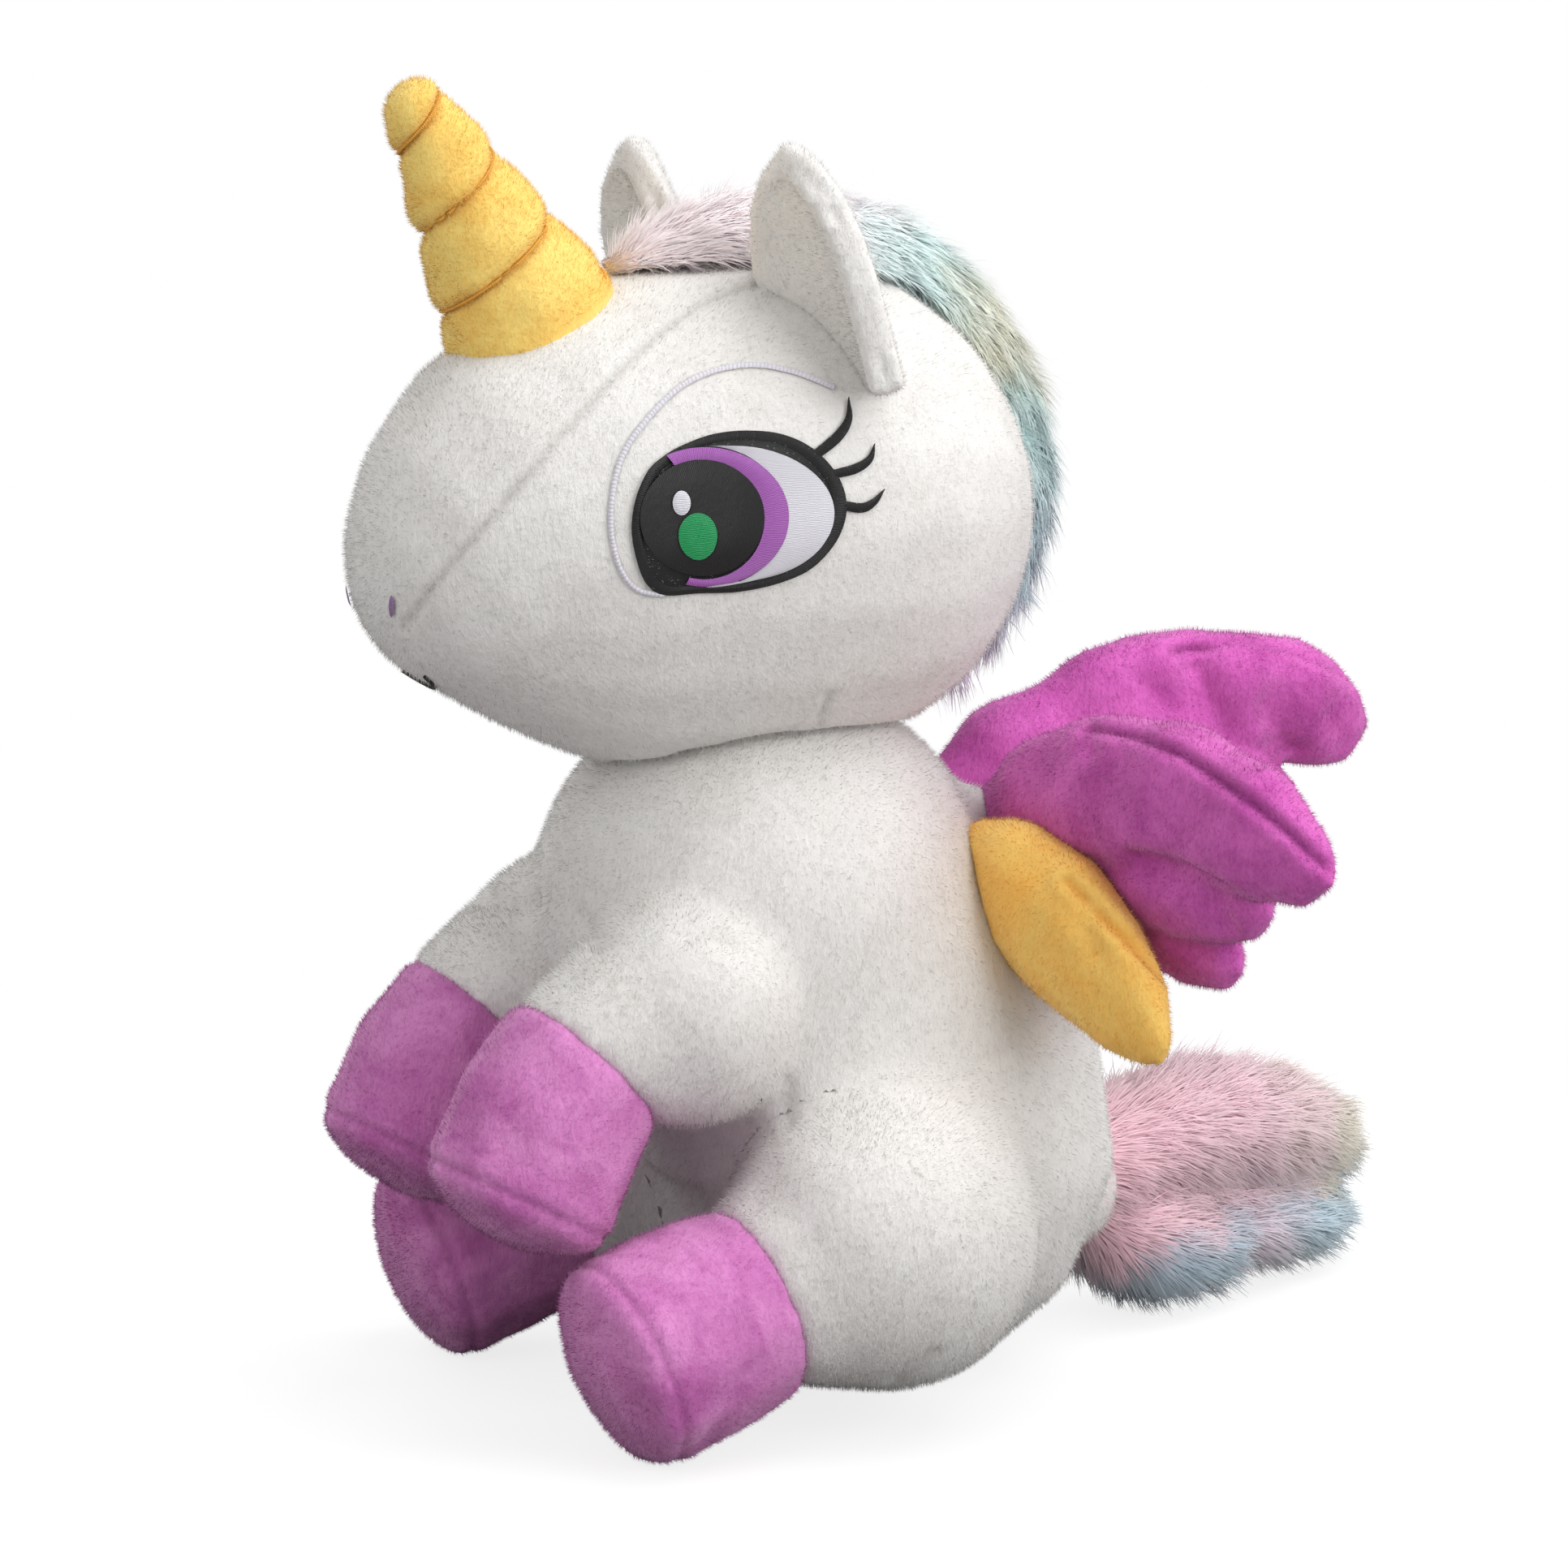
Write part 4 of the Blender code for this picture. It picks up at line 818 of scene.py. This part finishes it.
def strip(name, inner, outer, rows, lift, material, closed=False, flat=None, rim=0.0):
    # stitches run from inner to outer; flat gives a filled patch one direction of stitches
    count = len(inner)
    half = (inner + outer) / 2
    made = []
    for word, side in sides:
        points, marks = [], []
        for r in range(rows + 1):
            line = inner + (outer - inner) * r / rows
            run = 0.0
            for k, (x, y) in enumerate(line):
                crown = math.sin(math.pi * r / rows) if flat is None else min(1, 2.5 * (1 - r / rows))
                place = seenAt(headTree, x, y, lift + rim * crown)
                if place is None:
                    place = Vector(points[-1]) if points else Vector((0, 0, 0))
                    place.x = abs(place.x)
                if k:
                    run += pixelSize * math.hypot(*(half[k] - half[k - 1]))
                marks.append(run if flat is None else pixelSize * (x * flat[0] + y * flat[1]))
                points.append((side * place.x, place.y, place.z))
        faces = []
        last = count if closed else count - 1
        for r in range(rows):
            for k in range(last):
                a, b = r * count + k, r * count + (k + 1) % count
                faces.append((a, b, b + count, a + count))
        mesh = bpy.data.meshes.new(name + word.title())
        mesh.from_pydata(points, [], faces)
        mesh.update()
        piece = bpy.data.objects.new(name + word.title(), mesh)
        scene.collection.objects.link(piece)
        weld(piece)
        faceOut(piece)
        if piece.data.polygons[0].normal.x * side < 0:
            piece.data.flip_normals()
        if len(piece.data.vertices) == len(marks):
            addMark(piece, "stitch", marks)
        else:
            table = {tuple(round(c, 6) for c in p): m for p, m in zip(points, marks)}
            addMark(piece, "stitch", [table.get(tuple(round(c, 6) for c in v.co), 0) for v in piece.data.vertices])
        piece.data.materials.append(material)
        makeActive(piece)
        bpy.ops.object.shade_smooth()
        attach(piece, "head")
        made.append((word, piece))
    return made


def patch(name, outline, lift, material, flat, rim=0.0003):
    middle = outline.mean(0)
    inner = middle + (outline - middle) * 0.02
    return strip(name, inner, outline, 10, lift, material, closed=True, flat=flat, rim=rim)


eye = {
    "outline": [(838, 552), (875, 538), (915, 533), (960, 537), (1000, 555), (1030, 588), (1040, 625), (1030, 662),
                (1000, 697), (960, 716), (910, 727), (860, 729), (818, 731), (796, 716), (784, 685), (779, 650),
                (784, 615), (798, 583), (815, 566)],
    "white": ((868, 637, 100, 86), (902, 633, 124, 82), 88, -92),
    "iris": ((866, 640, 74, 72), (868, 637, 102, 84), 118, -104),
    "pupil": (864, 638, 76, 70),
    "glint": (838, 620, 11, 15),
    "spark": (858, 660, 24, 28),
    "nostril": (485, 746, 3.2, 13),
    "lashes": [([(1003, 562), (1030, 540), (1044, 518), (1044, 491)], 13),
               ([(1024, 585), (1052, 578), (1070, 566), (1076, 548)], 12),
               ([(1034, 622), (1060, 626), (1076, 618), (1088, 603)], 12)],
    "brow": [(818, 733), (785, 726), (764, 700), (753, 655), (755, 605), (768, 560), (795, 520), (835, 480), (880, 458),
             (930, 451), (980, 460), (1027, 478)],
}


def lineStrip(name, line, wide, count, lift, material, taper=None, rim=0.0004):
    middle = openCurve(line, count)
    along = np.gradient(middle, axis=0)
    along /= np.linalg.norm(along, axis=1, keepdims=True)
    across = np.stack([-along[:, 1], along[:, 0]], 1)
    half = wide / 2 * (np.ones(count) if taper is None else taper(np.linspace(0, 1, count)))
    return strip(name, middle - across * half[:, None], middle + across * half[:, None], 4, lift, material, rim=rim)


def lashTaper(t):
    return np.maximum(0.08, np.sin(np.pi * (0.32 + 0.66 * t)) ** 0.9)


def standsFor(node, made):
    for word, piece in made:
        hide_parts(f"{node}_{word}")


def arc(place):
    inner, outer, start, end = place
    return ellipse(*inner, start, end), ellipse(*outer, start, end)


slant, upright = (0.5, 0.86), (0.1, 1.0)  # ways that filled patches are stitched
outline = closedCurve(eye["outline"], 90)
standsFor("eye_black", patch("eyeBlack", outline, 0.0006, blackThread, slant))
ring = closedCurve(eye["outline"], 120)
middle = ring.mean(0)
strip("eyeRim", middle + (ring - middle) * 0.90, ring + (ring - middle) * 0.01, 4, 0.0008, blackThread, closed=True,
      rim=0.0004)
standsFor("eye_white", strip("eyeWhite", *arc(eye["white"]), 6, 0.0010, palestThread, rim=0.0003))
standsFor("eye_iris", strip("eyeIris", *arc(eye["iris"]), 6, 0.0012, irisThread, rim=0.0003))
patch("eyePupil", ellipse(*eye["pupil"]), 0.0013, blackThread, (0.95, 0.3))
standsFor("eye_glint", patch("eyeGlint", ellipse(*eye["glint"], count=24), 0.0019, palestThread, upright))
standsFor("eye_spark", patch("eyeSpark", ellipse(*eye["spark"], count=36), 0.0019, greenThread, upright))
for number, (line, wide) in enumerate(eye["lashes"]):
    lineStrip(f"lash{number}", line, wide, 16, 0.0007, blackThread, lashTaper)
standsFor("brow", lineStrip("brow", eye["brow"], 6.5, 90, 0.0005, browThread))
standsFor("nostril", patch("nostril", ellipse(*eye["nostril"], count=24), 0.0007, noseThread, upright))
print("eyes and nostrils done")


def tube(name, line, radius, material, around=8):
    # a thread laid along a line of points
    curve = bpy.data.curves.new(name, "CURVE")
    curve.dimensions = "3D"
    curve.bevel_depth = radius
    curve.bevel_resolution = around // 4
    curve.use_fill_caps = True
    spline = curve.splines.new("POLY")
    spline.points.add(len(line) - 1)
    for target, place in zip(spline.points, line):
        target.co = (*place, 1)
    piece = bpy.data.objects.new(name, curve)
    scene.collection.objects.link(piece)
    makeActive(piece)
    bpy.ops.object.convert(target="MESH")
    piece = bpy.context.object
    points = coords(piece)
    rows = np.array(line, float)
    near = np.array([np.argmin(((rows - p) ** 2).sum(1)) for p in points])
    run = np.concatenate([[0], np.cumsum(np.linalg.norm(np.diff(rows, axis=0), axis=1))]) * 1000
    addMark(piece, "stitch", run[near])
    piece.data.materials.append(material)
    bpy.ops.object.shade_smooth()
    return piece


smileEnd = seenAt(headTree, 524, 832)
smile = []
for k in range(25):
    t = k / 24 * 2 - 1
    x, z = t * smileEnd.x, smileEnd.z - 0.0034 * (1 - t * t)
    hit = headTree.ray_cast(Vector((x, -0.3, z)), Vector((0, 1, 0)))
    if hit[0]:
        smile.append(hit[0] + hit[1] * 0.0004)
mouth = tube("mouth", smile, 0.0004, blackThread)
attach(mouth, "head")
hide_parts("mouth")


# horn: a cone drawn in to tiers by its wound thread
horn = {"around": 96, "along": 120, "length": 0.0585, "root": 0.012, "base": 0.0196, "tip": 0.0056, "lean": 30,
        "bow": 0.95, "turns": 3.3, "groove": 0.0014, "start": 0.12, "bulge": 0.0004, "step": 0.0012,
        "round": 0.93, "ripple": 0.00025, "rippleSize": 0.011, "pile": 26000, "pileLength": 0.0013, "pileWide": 0.00016}
low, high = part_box("horn_cover")
hornAxis = Vector((0, -math.sin(math.radians(horn["lean"])), math.cos(math.radians(horn["lean"]))))
hornTop = Vector((0, low.y + 0.0068, high.z)) - hornAxis * 0.0015
hornFoot = hornTop - hornAxis * horn["length"]
hornSide = Vector((1, 0, 0))
hornFront = hornAxis.cross(hornSide)


def hornPhase(h, angle):
    return (horn["turns"] * h - angle / (2 * math.pi) + horn["start"]) % 1


def hornRadius(h, angle):
    # h runs from 0 at the head to 1 at the tip
    size = horn["base"] + (horn["tip"] - horn["base"]) * max(h, 0) ** horn["bow"]
    if h > horn["round"]:
        size *= math.sqrt(max(0.0, 1 - ((h - horn["round"]) / 0.07) ** 2)) * 0.999 + 0.001
    phase = hornPhase(h, angle)
    tier = 1 - abs(math.cos(math.pi * phase)) ** 16
    fade = min(1, max(0, h) / 0.06, max(0, 1 - h) / 0.09)
    bulge = horn["bulge"] * math.sin(math.pi * phase) - horn["step"] * (phase - 0.5)
    return size - fade * horn["groove"] * (1 - tier) + fade * bulge


def hornPlace(h, angle, size):
    return hornFoot + hornAxis * (h * horn["length"]) + (hornSide * math.cos(angle) + hornFront * math.sin(angle)) * size


points, marks, rows = [], [], []
root = horn["root"] / horn["length"]
for k in range(horn["along"] + 1):  # rings from inside the head to the tip, each end a single point
    h = k / horn["along"] * (1 + root) - root
    ends = k in (0, horn["along"])
    rows.append([])
    for j in range(1 if ends else horn["around"]):
        angle = 2 * math.pi * j / horn["around"]
        rows[-1].append(len(points))
        points.append(hornPlace(h, angle, 0 if ends else hornRadius(h, angle)))
        # marks: painted shade in the grooves between tiers, where the thread winds
        marks.append(abs(math.cos(math.pi * hornPhase(h, angle))) ** 22 if 0.03 < h < 0.95 else 0)
faces = []
for below, above in zip(rows, rows[1:]):
    for j in range(horn["around"]):
        ring = [row[(j + step) % len(row)] for row, step in ((below, 0), (below, 1), (above, 1), (above, 0))]
        faces.append(list(dict.fromkeys(ring)))
mesh = bpy.data.meshes.new("hornSkin")
mesh.from_pydata(points, [], faces)
hornPiece = bpy.data.objects.new("hornSkin", mesh)
scene.collection.objects.link(hornPiece)
faceOut(hornPiece)
points = coords(hornPiece)
setCoords(hornPiece, points + normals(hornPiece) * (wobble(points, horn["rippleSize"], 8) * horn["ripple"])[:, None])
addMark(hornPiece, "seam", marks)
finishPiece(hornPiece, hornGold)
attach(hornPiece, "head")
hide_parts("horn_cover", "horn_stuffing")
fibres = pileOn(hornPiece, "hornPile", horn, tuple(hornAxis), 9, hornGold,
                keep=lambda c: (c - np.array(hornFoot)) @ np.array(hornAxis) > -0.002)
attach(fibres, "head")
wound = []
for k in range(260):
    turns = 0.15 + (horn["turns"] - 0.30) * k / 259
    h = (turns - horn["start"]) / horn["turns"]
    angle = 2 * math.pi * ((horn["turns"] * h + horn["start"]) % 1)
    wound.append(hornPlace(h, angle, hornRadius(h, angle) + 0.00035))
windings = tube("hornThread", wound, 0.0003, goldThread)
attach(windings, "head")
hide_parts("horn_thread")
print("horn done")


# ears: a lined, cupped leaf with its edge sewn and turned
ear = {"voxel": 0.0013, "smooth": 9, "swell": 0.0009, "pile": 9000, "pileLength": 0.0013, "pileWide": 0.00016}
for word, side in sides:
    piece = joinAll("ear" + word.title(), [copyNode("ear_" + word), copyNode("ear_lining_" + word)])
    remesh(piece, ear["voxel"], ear["smooth"])
    swell(piece, ear["swell"])
    finer(piece)
    finishPiece(piece, white)
    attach(piece, "head")
    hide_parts("ear_" + word, "ear_lining_" + word)
    fibres = pileOn(piece, piece.name + "Pile", ear, pile["up"], 60 + side, white)
    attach(fibres, "head")
print("ears done")


# wings: feathers and a leaf, puffed up between their seams
wing = {"voxel": 0.0022, "smooth": 4, "pressure": 3.0, "cap": 0.003, "pile": 40000, "leafPile": 16000,
        "pileLength": 0.0012, "pileWide": 0.00015, "folds": {"left": 0.0007, "right": 0.0012}, "foldSize": 0.030,
        "leafVoxel": 0.0020, "leafFolds": 0.0004, "leafFoldSize": 0.022}


wingSeams = {
    "feathersLeft": [(1320, 893), (1339, 896), (1398, 906), (1458, 930), (1502, 960), (1547, 993),
                     (1588, 1026), (1614, 1052), (1634, 1067)],
    "feathersRight": [(1440, 806), (1461, 799), (1517, 797), (1584, 805), (1658, 835), (1694, 867)],
    "leafLeft": [(1316, 1086), (1376, 1146), (1420, 1194), (1458, 1238), (1482, 1270)],
}
wingFolds = {  # line, depth, width
    "feathersLeft": [([(1400, 1060), (1458, 1070), (1510, 1094)], 0.0022, 0.0030),
                     ([(1335, 893), (1345, 925)], 0.0009, 0.0022),
                     ([(1500, 1110), (1512, 1140)], 0.0020, 0.0030)],
    "feathersRight": [([(1478, 822), (1492, 860), (1512, 900)], 0.0030, 0.0046),
                      ([(1566, 872), (1588, 920), (1612, 962)], 0.0034, 0.0050),
                      ([(1410, 842), (1440, 868)], 0.0016, 0.0042), ([(1640, 880), (1660, 930)], 0.0016, 0.0040)],
    "leafLeft": [([(1336, 1118), (1346, 1172)], 0.0012, 0.0034)],
}


def pillow(name, copies, voxel, smooth, folds, foldSize, seed, material):
    piece = joinAll(name, [copyNode(n) for n in copies])
    remesh(piece, voxel, smooth)
    puff(piece, wing["pressure"], wing["cap"])
    finer(piece)
    points = coords(piece)
    setCoords(piece, points + normals(piece) * (wobble(points, foldSize, seed) * folds)[:, None])
    seen = treeOf(piece)
    for line, depth, wide in wingFolds.get(name, []):
        found = seenLine(seen, line)
        if len(found) > 1:
            pressSeams(piece, [found], depth, wide, 0.3 * depth, mark=0)
    if name in wingSeams:
        found = seenLine(seen, wingSeams[name])
        if len(found) > 1:
            # painted shade along the seam's crease
            pressSeams(piece, [found], 0.0013, 0.0011, 0.0004, mark=0.8)
    return finishPiece(piece, material)


for word, side in sides:
    bodyName = "wing_" + word
    feathers = pillow("feathers" + word.title(), ["wing_feathers_" + word, "wing_stuffing_" + word], wing["voxel"],
                      wing["smooth"], wing["folds"][word], wing["foldSize"], 70 + side, purple)
    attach(feathers, bodyName)
    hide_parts("wing_feathers_" + word, "wing_stuffing_" + word)
    fibres = pileOn(feathers, feathers.name + "Pile", wing, pile["down"], 80 + side, purple)
    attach(fibres, bodyName)
    leaf = pillow("leaf" + word.title(), ["wing_leaf_" + word, "leaf_stuffing_" + word], wing["leafVoxel"],
                  wing["smooth"], wing["leafFolds"], wing["leafFoldSize"], 90 + side, gold)
    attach(leaf, bodyName)
    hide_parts("wing_leaf_" + word, "leaf_stuffing_" + word)
    fibres = pileOn(leaf, leaf.name + "Pile", wing, pile["down"], 95 + side, gold, count=wing["leafPile"])
    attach(fibres, bodyName)
print("wings done")


# mane and tail: long dyed pile on a sewn core
def dyeAt(stops, share):
    share = np.clip(share, 0, 1)
    table = np.array([linear(*c)[:3] for _, c in stops])
    places = [s for s, _ in stops]
    return np.stack([np.interp(share, places, table[:, k]) for k in range(3)], 1)


def setDye(piece, colours):
    dye = piece.data.attributes.new("dye", "FLOAT_COLOR", "POINT")
    dye.data.foreach_set("color", np.hstack([colours, np.ones((len(colours), 1))]).astype(np.float32).ravel())


strand = {"clump": 0.20, "clumpSize": 0.009, "stray": 0.14, "sunk": 0.0006, "droop": 0.35, "facing": 0.25,
          "widths": (1.0, 0.9, 0.62, 0.12)}


def strandsOn(piece, name, size, lay, colours, seed, keep=None):
    # long pile: three faces each, drooping to the tip
    count = size["count"]
    rng = np.random.default_rng(seed)
    foot, up = scatter(piece, count, rng, keep)
    flow = np.array(lay(foot), float)
    flow -= up * (flow * up).sum(1, keepdims=True)
    flow /= np.maximum(np.linalg.norm(flow, axis=1, keepdims=True), 1e-9)
    clump = np.stack([wobble(foot, strand["clumpSize"], seed + k) for k in range(3)], 1) * strand["clump"]
    flow = flow + clump + rng.normal(size=foot.shape) * strand["stray"]
    tall = size["length"] * rng.uniform(0.55, 1.1, count)[:, None]
    across = np.cross(up, flow)
    across *= size["wide"] / 2 / np.maximum(np.linalg.norm(across, axis=1, keepdims=True), 1e-9)
    rows = []
    place = foot - up * strand["sunk"]
    for k, width in enumerate(strand["widths"]):
        rows += [place - across * width, place + across * width]
        droop = np.array((0, 0, -strand["droop"] * (k / 3) ** 2))
        step = up * (0.42 - 0.34 * k / 3) + flow * (0.60 + 0.35 * k / 3) + droop
        step /= np.linalg.norm(step, axis=1, keepdims=True)
        place = place + step * tall / 3
    corners = np.stack(rows, 1).reshape(-1, 3)
    quads = (np.arange(count) * 8)[:, None] + np.array([[0, 2, 3, 1, 2, 4, 5, 3, 4, 6, 7, 5]])
    made = meshOf(name, corners, quads.reshape(-1, 4), np.repeat(up + flow * strand["facing"], 8, 0))
    shade = rng.uniform(0.98, 1.10, count)[:, None]
    setDye(made, np.repeat(np.clip(colours(foot) * shade, 0, 1), 8, 0))
    return made


mane = {
    "voxel": 0.0025, "count": 36000, "length": 0.011, "wide": 0.00036,
    "stops": [(0.0, (255, 236, 238)), (0.16, (255, 240, 242)), (0.24, (252, 246, 250)), (0.36, (228, 255, 250)),
              (0.50, (255, 252, 230)), (0.60, (228, 252, 248)), (0.72, (224, 244, 252)), (0.86, (244, 238, 253)),
              (1.0, (255, 232, 242))],
}
manePiece = joinAll("maneCore", [copyNode("mane")])
remesh(manePiece, mane["voxel"], 6)
swell(manePiece, -0.0035)
finer(manePiece)
skull = np.array((0, -0.030, 0.196))


def maneShare(points):
    # 0 at the forelock, over the crown, to 1 at the nape
    turn = np.arctan2(points[:, 1] - skull[1], points[:, 2] - skull[2])
    return (turn + 0.35) / 2.75


def maneColours(points):
    wave = 0.04 * wobble(points, 0.02, 31)
    side = 0.05 * np.abs(points[:, 0]) / 0.018
    return dyeAt(mane["stops"], maneShare(points) + wave + side)


def maneLay(points):
    flow = np.stack([np.sign(points[:, 0]) * np.minimum(1, np.abs(points[:, 0]) / 0.012) * 0.9,
                     points[:, 2] - skull[2], -(points[:, 1] - skull[1])], 1)
    flow[:, 1:] /= np.linalg.norm(flow[:, 1:], axis=1, keepdims=True)
    return flow


setDye(manePiece, maneColours(coords(manePiece)))
finishPiece(manePiece, pastel)
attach(manePiece, "head")
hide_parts("mane")
strands = strandsOn(manePiece, "maneStrands", mane, maneLay, maneColours, 101,
                    keep=lambda c: np.linalg.norm(c - skull, axis=1) > 0.050)
finishPiece(strands, pastel)
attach(strands, "head")
print("mane done")

tail = {
    "voxel": 0.0025, "count": 36000, "length": 0.012, "wide": 0.00036,
    "upper": [(0.0, (252, 206, 218)), (0.45, (253, 216, 226)), (0.70, (252, 228, 226)), (0.82, (252, 242, 224)),
              (1.0, (252, 240, 222))],
    "lower": [(0.0, (206, 224, 238)), (0.35, (196, 220, 234)), (0.50, (240, 220, 232)), (0.66, (204, 226, 238)),
              (1.0, (202, 224, 235))],
}
tailPiece = joinAll("tailCore", [copyNode("tail")])
remesh(tailPiece, tail["voxel"], 6)
swell(tailPiece, -0.003)
finer(tailPiece)
tailRoot = np.array((0, 0.06355, 0.038))
tailWay = np.array((-math.sin(math.radians(21)), math.cos(math.radians(21)), 0))


def tailColours(points):
    share = (points - tailRoot) @ tailWay / 0.118 + 0.05 * wobble(points, 0.02, 41)
    low = 0.5 + (0.023 - points[:, 2] + 0.004 * wobble(points, 0.025, 43)) / 0.010
    low = np.clip(low, 0, 1)[:, None]
    return dyeAt(tail["upper"], share) * (1 - low) + dyeAt(tail["lower"], share) * low


setDye(tailPiece, tailColours(coords(tailPiece)))
finishPiece(tailPiece, pastel)
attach(tailPiece, "tail")
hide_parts("tail")
strands = strandsOn(tailPiece, "tailStrands", tail, lambda p: np.tile(tailWay + np.array((0, 0, -0.25)), (len(p), 1)),
                    tailColours, 121)
points = coords(strands)
points[:, 2] = np.maximum(points[:, 2], 0.0002)
setCoords(strands, points)
finishPiece(strands, pastel)
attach(strands, "tail")
print("tail done")


# floor, light and world
deselect()
bpy.ops.mesh.primitive_plane_add(size=1.2, location=(0, 0, 0))
floor = bpy.context.object
floor.name = "studioFloor"
material, tree, shader = newMaterial("paleFloor")
shader.inputs["Base Color"].default_value = (0.26, 0.26, 0.26, 1)
shader.inputs["Roughness"].default_value = 1
shader.inputs["Specular IOR Level"].default_value = 0
rays = addNode(tree, "LightPath", {}).outputs["Is Camera Ray"]
shader.inputs["Emission Color"].default_value = (1, 1, 1, 1)
tree.links.new(maths(tree, "MULTIPLY", rays, 0.80), shader.inputs["Emission Strength"])
spread = addNode(tree, "VectorMath", {0: ownPlace(tree)}, operation="LENGTH").outputs["Value"]
fade = ranged(tree, spread, 0.22, 0.46, 1.0, 0.0, interpolation_type="SMOOTHSTEP")
tree.links.new(fade, shader.inputs["Alpha"])
floor.data.materials.append(material)

world = bpy.data.worlds.new("studio")
scene.world = world
world.use_nodes = True
tree = world.node_tree
back = tree.nodes["Background"]
back.inputs["Color"].default_value = (1, 1, 1, 1)
rays = addNode(tree, "LightPath", {}).outputs["Is Camera Ray"]
tree.links.new(ranged(tree, rays, toLow=0.43), back.inputs["Strength"])  # white behind, softer as light


def lamp(name, place, size, watts):
    bpy.ops.object.light_add(type="AREA", location=place)
    light = bpy.context.object
    light.name = name
    light.data.size = size
    light.data.energy = watts
    way = Vector(shot["target"]) - Vector(place)
    light.rotation_mode = "QUATERNION"
    light.rotation_quaternion = way.to_track_quat("-Z", "Y")


lamp("topSoftbox", (0.25, 0.35, 1.35), 1.1, 11.0)
lamp("frontSoftbox", (0.55, -1.15, 0.75), 1.0, 4.0)
lamp("sideSoftbox", (1.2, 0.55, 0.55), 0.9, 9.5)
lamp("farSoftbox", (-1.2, -0.1, 0.8), 1.0, 5.0)
scene.view_settings.view_transform = "Standard"
